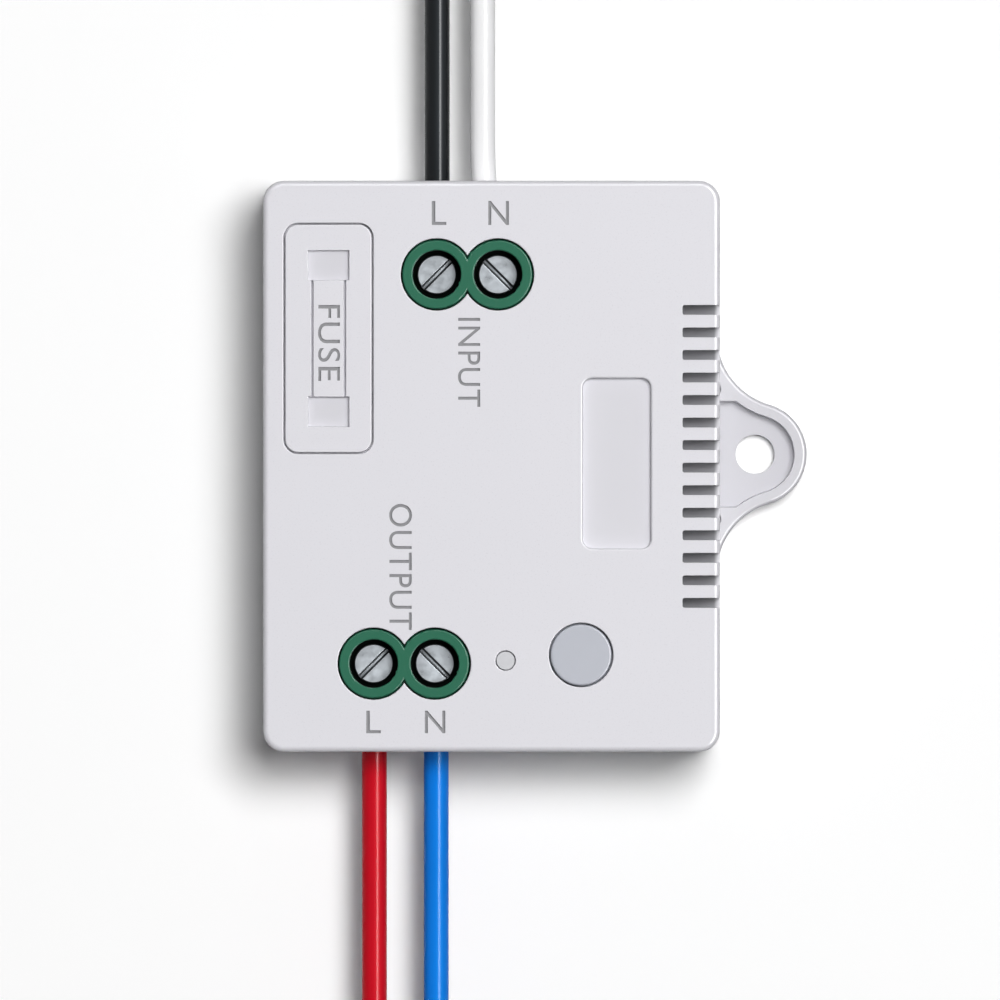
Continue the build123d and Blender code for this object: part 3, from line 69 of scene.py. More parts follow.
# Table and light
# A white table top, one large soft lamp a little to the upper right for the short
# shadows at the left and below, softboxes at the right and the top that only show in
# reflections, and an even white surround.
table_edge = 12.0
table_bounce = 0.25
surround_fill = 0.11
lamp_distance = 1.9
table_mesh = bpy.data.meshes.new("table_top")
table_mesh.from_pydata(
    [(-table_edge, -table_edge, 0), (table_edge, -table_edge, 0),
     (table_edge, table_edge, 0), (-table_edge, table_edge, 0)],
    [], [(0, 1, 2, 3)],
)
table_top = bpy.data.objects.new("table_top", table_mesh)
scene.collection.objects.link(table_top)


def shown_rays(tree):
    """1 where the eye meets the backdrop: straight, in a reflection or through glass."""
    rays = tree.nodes.new("ShaderNodeLightPath")
    shown = rays.outputs["Is Camera Ray"]
    for kind in ("Is Glossy Ray", "Is Transmission Ray"):
        either = tree.nodes.new("ShaderNodeMath")
        either.operation = "MAXIMUM"
        tree.links.new(shown, either.inputs[0])
        tree.links.new(rays.outputs[kind], either.inputs[1])
        shown = either.outputs[0]
    return shown


table_white = bpy.data.materials.new("table_white")
table_white.use_nodes = True
tree = table_white.node_tree
tree.nodes.clear()
paper = tree.nodes.new("ShaderNodeMix")
paper.data_type = "RGBA"
paper.inputs["A"].default_value = (table_bounce, table_bounce, table_bounce, 1)
paper.inputs["B"].default_value = (1, 1, 1, 1)
tree.links.new(shown_rays(tree), paper.inputs["Factor"])
matt = tree.nodes.new("ShaderNodeBsdfDiffuse")
tree.links.new(paper.outputs["Result"], matt.inputs["Color"])
sink = tree.nodes.new("ShaderNodeOutputMaterial")
tree.links.new(matt.outputs[0], sink.inputs["Surface"])
table_mesh.materials.append(table_white)


def area_lamp(name, toward, across, along, watts):
    """A lamp that shines on the origin from the given side. Its length along runs down
    towards the table, its width across lies level."""
    direction = Vector(toward).normalized()
    lamp = bpy.data.lights.new(name, "AREA")
    lamp.shape = "RECTANGLE"
    lamp.size = across
    lamp.size_y = along
    lamp.energy = watts
    placed = bpy.data.objects.new(name, lamp)
    placed.location = direction * lamp_distance
    placed.rotation_euler = direction.to_track_quat("Z", "Y").to_euler()
    placed.visible_camera = False
    scene.collection.objects.link(placed)
    return placed


key = area_lamp("key_lamp", (0.165, 0.165, 1), across=0.64, along=0.64, watts=33.2)
key.visible_glossy = False
reflections = [
    area_lamp("gleam_lamp", (0.50, 0.0, 1), across=1.8, along=0.45, watts=76.0),
    area_lamp("right_glow", (0.7, 0.0, 1), across=2.2, along=0.7, watts=42.0),
    area_lamp("top_glow", (0.0, 0.7, 1), across=2.2, along=0.7, watts=36.0),
]
for reflection in reflections:
    reflection.visible_diffuse = False

surround = bpy.data.worlds.new("surround")
scene.world = surround
surround.use_nodes = True
tree = surround.node_tree
tree.nodes.clear()
strength = tree.nodes.new("ShaderNodeMapRange")
strength.inputs["To Min"].default_value = surround_fill
strength.inputs["To Max"].default_value = 1.0
tree.links.new(shown_rays(tree), strength.inputs["Value"])
air = tree.nodes.new("ShaderNodeBackground")
air.inputs["Color"].default_value = (1, 1, 1, 1)
tree.links.new(strength.outputs["Result"], air.inputs["Strength"])
sink = tree.nodes.new("ShaderNodeOutputWorld")
tree.links.new(air.outputs[0], sink.inputs["Surface"])


# Rear shell
# The half that is screwed to the wall: floor, low rim, board posts and the mounting ear.
# Injection moulded in white ABS, with the fine grain of a spark-eroded mould.
# Painted shade: the rear shell's white is set darker than the cover's, for the shade on the
# mounting ear.
rear_shaded_white = (0.515, 0.510, 0.542)
pocket_shade_white = (0.560, 0.555, 0.588)
ear_reach = 0.0112
ear_rim = 0.0014
pocket_sides = (-0.0056, 0.0086)
pocket_levels = (0.0012, 0.0022)
edge_rounding = 0.00005
sharp_angle = math.radians(38)
flat_angle = math.radians(0.3)
same_point = 1e-7


def new_material(name):
    """An empty node material with its shader; returns the material, nodes, links and shader."""
    material = bpy.data.materials.new(name)
    material.use_nodes = True
    nodes = material.node_tree.nodes
    nodes.clear()
    shader = nodes.new("ShaderNodeBsdfPrincipled")
    output = nodes.new("ShaderNodeOutputMaterial")
    material.node_tree.links.new(shader.outputs[0], output.inputs["Surface"])
    return material, nodes, material.node_tree.links, shader


def object_noise(nodes, links, per_metre, detail, rough, stretch=(1, 1, 1)):
    """Noise fixed to the object, with so many cells to the metre."""
    place = nodes.new("ShaderNodeTexCoord")
    turn = nodes.new("ShaderNodeMapping")
    turn.inputs["Scale"].default_value = stretch
    noise = nodes.new("ShaderNodeTexNoise")
    noise.inputs["Scale"].default_value = per_metre
    noise.inputs["Detail"].default_value = detail
    noise.inputs["Roughness"].default_value = rough
    links.new(place.outputs["Object"], turn.inputs["Vector"])
    links.new(turn.outputs["Vector"], noise.inputs["Vector"])
    return noise.outputs["Fac"]


def between(nodes, links, value, low, high, out_low, out_high):
    """Maps a value from one range to another."""
    span = nodes.new("ShaderNodeMapRange")
    span.inputs["From Min"].default_value = low
    span.inputs["From Max"].default_value = high
    span.inputs["To Min"].default_value = out_low
    span.inputs["To Max"].default_value = out_high
    links.new(value, span.inputs["Value"])
    return span.outputs["Result"]


def roughen(nodes, links, shader, value, low, high):
    """Roughness from low to high over the range that a noise mostly keeps to."""
    spread = between(nodes, links, value, 0.3, 0.7, low, high)
    links.new(spread, shader.inputs["Roughness"])


def tint(nodes, links, value, colour, spread, socket):
    """Colour that swings by a share round the given one, as the value goes from 0 to 1."""
    mix = nodes.new("ShaderNodeMix")
    mix.data_type = "RGBA"
    mix.inputs["A"].default_value = (*[c * (1 - spread) for c in colour], 1)
    mix.inputs["B"].default_value = (*[min(c * (1 + spread), 1) for c in colour], 1)
    links.new(value, mix.inputs["Factor"])
    links.new(mix.outputs["Result"], socket)


def bumpy(nodes, links, shader, *layers):
    """Stacks bumps, each a height value and its depth in metres."""
    below = None
    for height, depth in layers:
        bump = nodes.new("ShaderNodeBump")
        bump.inputs["Strength"].default_value = 1.0
        bump.inputs["Distance"].default_value = depth
        links.new(height, bump.inputs["Height"])
        if below is not None:
            links.new(below, bump.inputs["Normal"])
        below = bump.outputs["Normal"]
    links.new(below, shader.inputs["Normal"])


def moulded_plastic(name, colour, roughness, grain=0.00022, depth=0.000003, specular=0.5):
    """Moulded plastic: even colour with a slight cloud, and the mould's fine grain."""
    material, nodes, links, shader = new_material(name)
    cloud = object_noise(nodes, links, 45, detail=2.0, rough=0.5)
    pits = object_noise(nodes, links, 1 / grain, detail=3.0, rough=0.6)
    tint(nodes, links, cloud, colour, 0.012, shader.inputs["Base Color"])
    roughen(nodes, links, shader, pits, roughness - 0.05, roughness + 0.07)
    shader.inputs["Specular IOR Level"].default_value = specular
    bumpy(nodes, links, shader, (pits, depth))
    return material


def moulded_copy(node, name, material, rounding, cutter=None):
    """A copy of a CAD node whose triangles are joined into whole faces and whose sharp
    edges are rounded by so many metres, as a mould does. A cutter's shape is sunk into it."""
    joined = bmesh.new()
    joined.from_mesh(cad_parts[node].data)
    bmesh.ops.remove_doubles(joined, verts=joined.verts, dist=same_point)
    bmesh.ops.dissolve_limit(
        joined, angle_limit=flat_angle, use_dissolve_boundaries=False,
        verts=joined.verts, edges=joined.edges,
    )
    mesh = bpy.data.meshes.new(name)
    joined.to_mesh(mesh)
    joined.free()
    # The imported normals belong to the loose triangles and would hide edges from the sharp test
    mesh.attributes.remove(mesh.attributes["custom_normal"])
    mesh.materials.clear()
    mesh.materials.append(material)
    mesh.polygons.foreach_set("material_index", [0] * len(mesh.polygons))
    piece = bpy.data.objects.new(name, mesh)
    scene.collection.objects.link(piece)
    edges = piece.modifiers.new("edges", "BEVEL")
    edges.width = rounding
    edges.segments = 2
    edges.limit_method = "ANGLE"
    edges.angle_limit = sharp_angle
    edges.use_clamp_overlap = False
    if cutter:
        cut = piece.modifiers.new("cut", "BOOLEAN")
        cut.operation = "DIFFERENCE"
        cut.solver = "EXACT"
        cut.material_mode = "TRANSFER"
        cut.object = cutter
    finished = bpy.data.meshes.new_from_object(
        piece.evaluated_get(bpy.context.evaluated_depsgraph_get())
    )
    piece.modifiers.clear()
    piece.data = finished
    finished.name = name
    if cutter:
        bpy.data.objects.remove(cutter)
    finished.polygons.foreach_set("use_smooth", [True] * len(finished.polygons))
    finished.set_sharp_from_angle(angle=sharp_angle)
    level = piece.modifiers.new("level", "WEIGHTED_NORMAL")
    level.keep_sharp = True
    return piece


def inside_box(nodes, links, low, high, soft):
    """1 inside a box of object coordinates, falling to 0 over a soft border outside it."""
    place = nodes.new("ShaderNodeTexCoord")
    axes = nodes.new("ShaderNodeSeparateXYZ")
    links.new(place.outputs["Object"], axes.inputs["Vector"])
    inside = None
    for axis, bottom, top in zip("XYZ", low, high):
        rise = between(nodes, links, axes.outputs[axis], bottom - soft, bottom, 0, 1)
        fall = between(nodes, links, axes.outputs[axis], top, top + soft, 1, 0)
        for part in (rise, fall):
            if inside is None:
                inside = part
                continue
            product = nodes.new("ShaderNodeMath")
            product.operation = "MULTIPLY"
            links.new(inside, product.inputs[0])
            links.new(part, product.inputs[1])
            inside = product.outputs[0]
    return inside


def paint_shade_inside(material, colour, boxes, soft):
    """Paints shade into a material: another, dull colour inside the boxes, with a soft border."""
    nodes, links = material.node_tree.nodes, material.node_tree.links
    shader = next(node for node in nodes if node.type == "BSDF_PRINCIPLED")
    for low, high in boxes:
        inside = inside_box(nodes, links, low, high, soft)
        for socket, value in (("Base Color", (*colour, 1)), ("Roughness", 1.0)):
            plain = shader.inputs[socket].links[0].from_socket
            mix = nodes.new("ShaderNodeMix")
            mix.data_type = "RGBA" if socket == "Base Color" else "FLOAT"
            ends = [end for end in mix.inputs if end.enabled]
            links.new(inside, ends[0])
            links.new(plain, ends[1])
            ends[2].default_value = value
            result = next(end for end in mix.outputs if end.enabled)
            links.new(result, shader.inputs[socket])


rear_plastic = moulded_plastic("rear_plastic", rear_shaded_white, roughness=0.34)
ear_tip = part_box("base_shell")[1][0]
# Painted shade: the floor of the ear's pocket gets its own dull colour, set for the shade in the
# recess.
pocket_shade_box = (
    (ear_tip - ear_reach, pocket_sides[0], pocket_levels[0]),
    (ear_tip - ear_rim, pocket_sides[1], pocket_levels[1]),
)
paint_shade_inside(rear_plastic, pocket_shade_white, [pocket_shade_box], soft=0.0002)
rear_shell = moulded_copy("base_shell", "rear_shell", rear_plastic, edge_rounding)
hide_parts("base_shell")
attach(rear_shell, "housing")


# Cover screws
# Four thread-forming steel screws, bright zinc plated, driven in from the rear.


def dress(node, material):
    """Gives a CAD node its finish."""
    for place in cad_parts[node].material_slots:
        place.material = material


def plated_metal(name, colour, roughness, cell=0.0003, spread=0.08, depth=0.000002):
    """Plated metal: matt spots, small stains and a fine orange-peel surface."""
    material, nodes, links, shader = new_material(name)
    stains = object_noise(nodes, links, 900, detail=4.0, rough=0.6)
    peel = object_noise(nodes, links, 1 / cell, detail=3.0, rough=0.6)
    tint(nodes, links, stains, colour, spread, shader.inputs["Base Color"])
    shader.inputs["Metallic"].default_value = 1.0
    roughen(nodes, links, shader, stains, roughness - 0.06, roughness + 0.08)
    bumpy(nodes, links, shader, (peel, depth))
    return material


dress("housing_screws", plated_metal("zinc_plate", (0.62, 0.62, 0.63), roughness=0.32))


# Main board
# Glass-fibre board with green solder mask over etched tracks; everything inside the
# housing is soldered to it.
track_pitch = 0.0013
track_block = 0.011
mask_green = (0.018, 0.15, 0.055)
board_underside = 0.0045
leg_end = 0.0032
leg_end_slack = 0.0001
same_leg = 0.00145
leg_radius = 0.00042
joint_radius = 0.00085
joint_height = 0.0009


def solder_mask(name):
    """Green mask over copper tracks that run one way or the other from block to block, with
    the weave of the glass cloth."""
    material, nodes, links, shader = new_material(name)
    place = nodes.new("ShaderNodeTexCoord")
    blocks = nodes.new("ShaderNodeTexVoronoi")
    blocks.distance = "CHEBYCHEV"
    blocks.inputs["Scale"].default_value = 1 / track_block
    blocks.inputs["Randomness"].default_value = 0.6
    links.new(place.outputs["Object"], blocks.inputs["Vector"])
    turned = between(nodes, links, blocks.outputs["Color"], 0.49, 0.51, 0.0, 1.0)
    either = nodes.new("ShaderNodeMix")
    ends = [end for end in either.inputs if end.enabled]
    links.new(turned, ends[0])
    one_band_per_metre = math.tau / 20
    for direction, end in zip("XY", ends[1:]):
        runs = nodes.new("ShaderNodeTexWave")
        runs.bands_direction = direction
        runs.inputs["Scale"].default_value = one_band_per_metre / track_pitch
        links.new(place.outputs["Object"], runs.inputs["Vector"])
        links.new(runs.outputs["Fac"], end)
    raised = between(nodes, links, either.outputs["Result"], 0.58, 0.68, 0.0, 1.0)
    weave = object_noise(nodes, links, 2200, detail=2.0, rough=0.5)
    tint(nodes, links, raised, mask_green, 0.30, shader.inputs["Base Color"])
    roughen(nodes, links, shader, weave, 0.22, 0.34)
    bumpy(nodes, links, shader, (raised, 0.00003), (weave, 0.000004))
    return material


board_green = solder_mask("board_green")
dress("main_board", board_green)


def leg_places(nodes):
    """The middle of each leg that comes out under the board. Corners at a leg's lower end
    that lie close together belong to the same leg."""
    places = []
    for node in nodes:
        tips = {
            tuple(round(length, 6) for length in vertex.co.xy)
            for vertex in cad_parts[node].data.vertices
            if vertex.co.z < leg_end + leg_end_slack
        }
        tips = sorted(tips)
        while tips:
            leg, rest = [tips[0]], tips[1:]
            for tip in leg:
                near = [other for other in rest if math.dist(tip, other) < same_leg]
                rest = [other for other in rest if math.dist(tip, other) >= same_leg]
                leg += near
            tips = rest
            ends = [(min(axis), max(axis)) for axis in zip(*leg)]
            places.append([sum(end) / 2 for end in ends])
    return places


def new_tree(name, sizes):
    """A Geometry Nodes tree with named sizes and a material; returns it, its nodes, links,
    inputs and the socket that its last piece goes into."""
    tree = bpy.data.node_groups.new(name, "GeometryNodeTree")
    face = tree.interface
    face.new_socket(name="Geometry", in_out="INPUT", socket_type="NodeSocketGeometry")
    for size in sizes:
        face.new_socket(name=size, in_out="INPUT", socket_type="NodeSocketFloat")
    face.new_socket(name="Finish", in_out="INPUT", socket_type="NodeSocketMaterial")
    face.new_socket(name="Geometry", in_out="OUTPUT", socket_type="NodeSocketGeometry")
    given = tree.nodes.new("NodeGroupInput")
    solid = tree.nodes.new("GeometryNodeRealizeInstances")
    finish = tree.nodes.new("GeometryNodeSetMaterial")
    result = tree.nodes.new("NodeGroupOutput")
    tree.links.new(solid.outputs["Geometry"], finish.inputs["Geometry"])
    tree.links.new(given.outputs["Finish"], finish.inputs["Material"])
    tree.links.new(finish.outputs["Geometry"], result.inputs["Geometry"])
    return tree, tree.nodes, tree.links, given.outputs, solid.inputs["Geometry"]


def grow(name, tree, mesh, values):
    """Runs a tree on a mesh with the given values and returns the plain piece that it makes."""
    piece = bpy.data.objects.new(name, mesh)
    scene.collection.objects.link(piece)
    modifier = piece.modifiers.new("grow", "NODES")
    modifier.node_group = tree
    for item in tree.interface.items_tree:
        if item.in_out == "INPUT" and item.name in values:
            modifier[item.identifier] = values[item.name]
    made = bpy.data.meshes.new_from_object(
        piece.evaluated_get(bpy.context.evaluated_depsgraph_get())
    )
    piece.modifiers.clear()
    piece.data = made
    made.name = name
    return piece


def solder_joint_tree():
    """A cone of solder at every point, wide at the board and narrow down the leg."""
    tree, nodes, links, given, last = new_tree(
        "solder_joint", ("Foot Radius", "Leg Radius", "Height")
    )
    cone = nodes.new("GeometryNodeMeshCone")
    cone.inputs["Vertices"].default_value = 20
    cone.inputs["Side Segments"].default_value = 4
    links.new(given["Leg Radius"], cone.inputs["Radius Top"])
    links.new(given["Foot Radius"], cone.inputs["Radius Bottom"])
    links.new(given["Height"], cone.inputs["Depth"])
    smooth = nodes.new("GeometryNodeSetShadeSmooth")
    links.new(cone.outputs["Mesh"], smooth.inputs["Geometry"])
    copies = nodes.new("GeometryNodeInstanceOnPoints")
    links.new(given["Geometry"], copies.inputs["Points"])
    links.new(smooth.outputs["Geometry"], copies.inputs["Instance"])
    copies.inputs["Rotation"].default_value = (math.pi, 0, 0)
    links.new(copies.outputs["Instances"], last)
    return tree


solder = plated_metal(
    "solder", (0.66, 0.66, 0.68), roughness=0.24, cell=0.0004, spread=0.06, depth=0.000004
)
soldered_nodes = (
    "bulk_capacitor", "choke_drum", "film_capacitor", "fuse_clips", "input_contact_strips",
    "output_contact_strips", "radio_header", "relay_pins", "reservoir_capacitor",
    "tact_switch", "transformer_base", "varistor",
)
joint_points = bpy.data.meshes.new("joint_points")
joint_points.from_pydata(
    [(*place, board_underside) for place in leg_places(soldered_nodes)], [], [],
)
solder_joints = grow("solder_joints", solder_joint_tree(), joint_points, {
    "Foot Radius": joint_radius,
    "Leg Radius": leg_radius,
    "Height": joint_height,
    "Finish": solder,
})
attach(solder_joints, "housing")


# Terminals
# A two-pole block of glass-filled green polyamide at each end, with tinned strips, zinc
# plated clamp cages and slotted steel screws with a satin nickel plate.
block_green = (0.016, 0.132, 0.074)
well_shade_black = (0.003, 0.005, 0.004)
well_radius = 0.00297
well_floor = 0.0170
well_top = 0.0217
screw_rounding = 0.00004
slot_shade_grey = (0.05, 0.054, 0.058)
slot_shade_depth = 0.00076
slot_shade_start = 0.00014

tinned_strip = plated_metal("tinned_strip", (0.70, 0.70, 0.71), roughness=0.28)
clamp_zinc = plated_metal("clamp_zinc", (0.60, 0.61, 0.62), roughness=0.34)
satin_nickel = plated_metal(
    "satin_nickel", (0.184, 0.197, 0.209), roughness=0.32, cell=0.00012, depth=0.0000012
)
for side in ("input", "output"):
    terminal_green = moulded_plastic(
        f"{side}_terminal_green", block_green, roughness=0.20, grain=0.00015, depth=0.000002,
        specular=0.2,
    )
    block = moulded_copy(
        f"{side}_terminal_block", f"{side}_block", terminal_green, edge_rounding
    )
    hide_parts(f"{side}_terminal_block")
    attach(block, "housing")
    dress(f"{side}_contact_strips", tinned_strip)
    well_shade_boxes = []
    for pole in ("live", "neutral"):
        low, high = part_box(f"{side}_{pole}_screw")
        middle = [(low[axis] + high[axis]) / 2 for axis in (0, 1)]
        well_shade_boxes.append((
            (middle[0] - well_radius, middle[1] - well_radius, well_floor),
            (middle[0] + well_radius, middle[1] + well_radius, well_top),
        ))
        screw = moulded_copy(
            f"{side}_{pole}_screw", f"{side}_{pole}_slotted_screw", satin_nickel,
            screw_rounding,
        )
        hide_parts(f"{side}_{pole}_screw")
        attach(screw, f"{side}_{pole}_screw")
        dress(f"{side}_{pole}_clamp", clamp_zinc)
    # Painted shade: the green turns near black and dull in the wells round the screws, for the
    # deep shade there.
    paint_shade_inside(terminal_green, well_shade_black, well_shade_boxes, soft=0.0001)
head_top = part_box("input_live_screw")[1][2]
housing_low, housing_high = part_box("top_cover")
# Painted shade: the screw heads turn dark grey and dull in a band just below their tops, so the
# slots read dark.
slot_shade_box = (
    (*housing_low[:2], head_top - slot_shade_depth),
    (*housing_high[:2], head_top - slot_shade_start),
)
paint_shade_inside(satin_nickel, slot_shade_grey, [slot_shade_box], soft=0.00003)


# Leads
# Four stiff single-core wires of 1.5 square millimetres, clamped in the terminals. Each is
# a PVC insulation 3.06 mm thick over a copper core that is stripped at both ends.
lead_radius = 0.00153
core_radius = 0.00069
core_tip = 0.008
core_in_clamp = 0.0066
level = 0.0102
lying = 0.00158
lead_routes = {
    "black": [(-0.00668, 0.0284, level), (-0.00668, 0.0488, level), (-0.00668, 0.067, level),
              (-0.00668, 0.083, lying), (-0.00668, 0.097, lying)],
    "white": [(-0.000122, 0.0284, level), (-0.0011, 0.0336, level), (-0.0011, 0.0488, level),
              (-0.0011, 0.067, level), (-0.0011, 0.083, lying), (-0.0011, 0.097, lying)],
    "red": [(-0.0144, -0.0291, level), (-0.0144, -0.0568, level), (-0.0144, -0.075, level),
            (-0.0144, -0.091, lying), (-0.0144, -0.105, lying)],
    "blue": [(-0.0068, -0.0291, level), (-0.0068, -0.0568, level), (-0.0068, -0.075, level),
             (-0.0068, -0.091, lying), (-0.0068, -0.105, lying)],
}
lead_colours = {
    "black": (0.0015, 0.002, 0.0025),
    "white": (0.86, 0.86, 0.87),
    "red": (0.54, 0.001, 0.011),
    "blue": (0.0, 0.18, 0.72),
}
lead_gloss = {"black": 0.19, "white": 0.40, "red": 0.12, "blue": 0.13}
lead_sheens = {
    "black": (0.29, 0.34, 0.38),
    "white": (0.35, 0.35, 0.35),
    "red": (1.0, 0.12, 0.14),
    "blue": (0.08, 0.65, 1.0),
}


def round_cord(name, points, radius):
    """A tube on a smooth spline whose control points are given."""
    line = bpy.data.curves.new(name, "CURVE")
    line.dimensions = "3D"
    line.resolution_u = 24
    line.bevel_depth = radius
    line.bevel_resolution = 8
    line.use_fill_caps = True
    spline = line.splines.new("NURBS")
    spline.points.add(len(points) - 1)
    for place, point in zip(spline.points, points):
        place.co = (*point, 1)
    spline.order_u = 3
    spline.use_endpoint_u = True
    cord = bpy.data.objects.new(name, line)
    scene.collection.objects.link(cord)
    return cord


def extruded_pvc(name, colour, sheen, gloss):
    """Extruded insulation: a soft sheen under a thin glossy skin, with fine draw lines along
    it and slight waves."""
    material, nodes, links, shader = new_material(name)
    lines = object_noise(nodes, links, 2600, detail=2.0, rough=0.5, stretch=(1, 0.012, 1))
    waves = object_noise(nodes, links, 140, detail=2.0, rough=0.5)
    tint(nodes, links, waves, colour, 0.06, shader.inputs["Base Color"])
    roughen(nodes, links, shader, lines, 0.48, 0.56)
    shader.inputs["Specular IOR Level"].default_value = 0.20
    shader.inputs["Specular Tint"].default_value = (*sheen, 1)
    shader.inputs["Coat Weight"].default_value = gloss
    shader.inputs["Coat Roughness"].default_value = 0.12
    bumpy(nodes, links, shader, (waves, 0.00002), (lines, 0.000002))
    return material


def drawn_copper(name):
    """Bare drawn copper with die lines and a light tarnish."""
    material, nodes, links, shader = new_material(name)
    lines = object_noise(nodes, links, 9000, detail=2.0, rough=0.5, stretch=(1, 0.02, 1))
    tarnish = object_noise(nodes, links, 500, detail=4.0, rough=0.6)
    tint(nodes, links, tarnish, (0.80, 0.36, 0.19), 0.14, shader.inputs["Base Color"])
    shader.inputs["Metallic"].default_value = 1.0
    roughen(nodes, links, shader, lines, 0.22, 0.38)
    bumpy(nodes, links, shader, (lines, 0.000003))
    return material


copper = drawn_copper("bare_copper")
for colour, route in lead_routes.items():
    insulation = round_cord(f"{colour}_insulation", route, lead_radius)
    insulation.data.materials.append(
        extruded_pvc(
            f"{colour}_pvc", lead_colours[colour], lead_sheens[colour], lead_gloss[colour]
        )
    )
    toward = 1 if route[-1][1] > 0 else -1
    first, last = route[0], route[-1]
    core_route = [(first[0], first[1] - toward * core_in_clamp, first[2]), *route,
                  (last[0], last[1] + toward * core_tip, last[2])]
    core = round_cord(f"{colour}_core", core_route, core_radius)
    core.data.materials.append(copper)
    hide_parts(f"{colour}_lead_insulation")
    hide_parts(f"{colour}_lead_core")
    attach(insulation, "housing")
    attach(core, "housing")


# Relay
# A sealed 16 A relay: black case and base, a coil of enamelled wire on a bobbin over the
# iron core, a hinged armature and a bronze blade with silver contacts.
black_plastic = moulded_plastic(
    "black_plastic", (0.018, 0.018, 0.020), roughness=0.42, grain=0.0002
)
natural_nylon = moulded_plastic(
    "natural_nylon", (0.70, 0.68, 0.61), roughness=0.45, grain=0.0002
)
soft_iron = plated_metal("soft_iron", (0.52, 0.52, 0.53), roughness=0.36, cell=0.0002)
bronze_strip = plated_metal(
    "bronze_strip", (0.70, 0.44, 0.24), roughness=0.30, cell=0.0002, spread=0.10
)


def enamelled_wire(name, colour):
    """Copper wire under clear enamel: glossy, a little darker in patches."""
    material, nodes, links, shader = new_material(name)
    patches = object_noise(nodes, links, 1500, detail=3.0, rough=0.6)
    tint(nodes, links, patches, colour, 0.22, shader.inputs["Base Color"])
    shader.inputs["Metallic"].default_value = 0.85
    shader.inputs["Coat Weight"].default_value = 0.4
    roughen(nodes, links, shader, patches, 0.22, 0.32)
    bumpy(nodes, links, shader, (patches, 0.000003))
    return material


def wire_coil_tree():
    """One close layer of wire turns round a tube that stands for the layers below it."""
    tree, nodes, links, given, last = new_tree(
        "wire_coil", ("Turns", "Outer Radius", "Inner Radius", "Wire Radius", "Height")
    )

    def sum_of(first, second, operation="ADD"):
        node = nodes.new("ShaderNodeMath")
        node.operation = operation
        for value, socket in zip((first, second), node.inputs):
            if isinstance(value, float):
                socket.default_value = value
            else:
                links.new(value, socket)
        return node.outputs[0]

    def raised(geometry, height):
        lift = nodes.new("ShaderNodeCombineXYZ")
        links.new(height, lift.inputs["Z"])
        move = nodes.new("GeometryNodeTransform")
        links.new(geometry, move.inputs["Geometry"])
        links.new(lift.outputs[0], move.inputs["Translation"])
        return move.outputs["Geometry"]

    wire = given["Wire Radius"]
    wire_line = sum_of(given["Outer Radius"], wire, "SUBTRACT")
    turns = nodes.new("GeometryNodeCurveSpiral")
    turns.inputs["Resolution"].default_value = 26
    links.new(given["Turns"], turns.inputs["Rotations"])
    links.new(wire_line, turns.inputs["Start Radius"])
    links.new(wire_line, turns.inputs["End Radius"])
    links.new(sum_of(given["Height"], sum_of(wire, 2.0, "MULTIPLY"), "SUBTRACT"),
              turns.inputs["Height"])
    section = nodes.new("GeometryNodeCurvePrimitiveCircle")
    section.inputs["Resolution"].default_value = 8
    links.new(wire, section.inputs["Radius"])
    winding = nodes.new("GeometryNodeCurveToMesh")
    winding.inputs["Fill Caps"].default_value = True
    links.new(raised(turns.outputs["Curve"], wire), winding.inputs["Curve"])
    links.new(section.outputs["Curve"], winding.inputs["Profile Curve"])

    ring = nodes.new("GeometryNodeCurvePrimitiveCircle")
    ring.inputs["Resolution"].default_value = 48
    links.new(sum_of(sum_of(wire_line, given["Inner Radius"]), 0.5, "MULTIPLY"),
              ring.inputs["Radius"])
    wall = nodes.new("GeometryNodeCurvePrimitiveQuadrilateral")
    wall_width = sum_of(wire_line, given["Inner Radius"], "SUBTRACT")
    links.new(given["Height"], wall.inputs["Height"])
    links.new(wall_width, wall.inputs["Width"])
    tube = nodes.new("GeometryNodeCurveToMesh")
    links.new(raised(ring.outputs["Curve"], sum_of(given["Height"], 0.5, "MULTIPLY")),
              tube.inputs["Curve"])
    links.new(wall.outputs["Curve"], tube.inputs["Profile Curve"])
    smooth = nodes.new("GeometryNodeSetShadeSmooth")
    links.new(winding.outputs["Mesh"], smooth.inputs["Geometry"])
    both = nodes.new("GeometryNodeJoinGeometry")
    links.new(smooth.outputs["Geometry"], both.inputs["Geometry"])
    links.new(tube.outputs["Mesh"], both.inputs["Geometry"])
    links.new(both.outputs["Geometry"], last)
    return tree


def wind(node, name, finish, inner_radius, wire_radius):
    """Winds a coil in the place of a CAD winding."""
    low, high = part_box(node)
    height = high[2] - low[2]
    coil = grow(name, coil_tree, bpy.data.meshes.new(name), {
        "Turns": (height - 2 * wire_radius) / (2 * wire_radius),
        "Outer Radius": (high[0] - low[0]) / 2,
        "Inner Radius": inner_radius,
        "Wire Radius": wire_radius,
        "Height": height,
        "Finish": finish,
    })
    middle = ((low[0] + high[0]) / 2, (low[1] + high[1]) / 2, low[2])
    coil.data.transform(Matrix.Translation(middle))
    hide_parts(node)
    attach(coil, "housing")


coil_tree = wire_coil_tree()
coil_copper = enamelled_wire("coil_copper", (0.62, 0.24, 0.09))
wind("relay_winding", "relay_coil", coil_copper, inner_radius=0.0019, wire_radius=0.0001)
dress("relay_case", black_plastic)
dress("relay_base", black_plastic)
dress("relay_bobbin", natural_nylon)
dress("relay_pins", tinned_strip)
for node in ("relay_yoke", "relay_core", "relay_armature"):
    dress(node, soft_iron)
for node in ("contact_blade", "fixed_contact"):
    dress(node, bronze_strip)


# Transformer
# Ferrite frame with its windings under yellow polyester tape, on a black pin base.


def ground_ferrite(name):
    """Sintered ferrite: near black, chalky and finely pitted."""
    material, nodes, links, shader = new_material(name)
    pits = object_noise(nodes, links, 5200, detail=5.0, rough=0.7)
    tint(nodes, links, pits, (0.045, 0.045, 0.048), 0.35, shader.inputs["Base Color"])
    roughen(nodes, links, shader, pits, 0.5, 0.75)
    bumpy(nodes, links, shader, (pits, 0.000008))
    return material


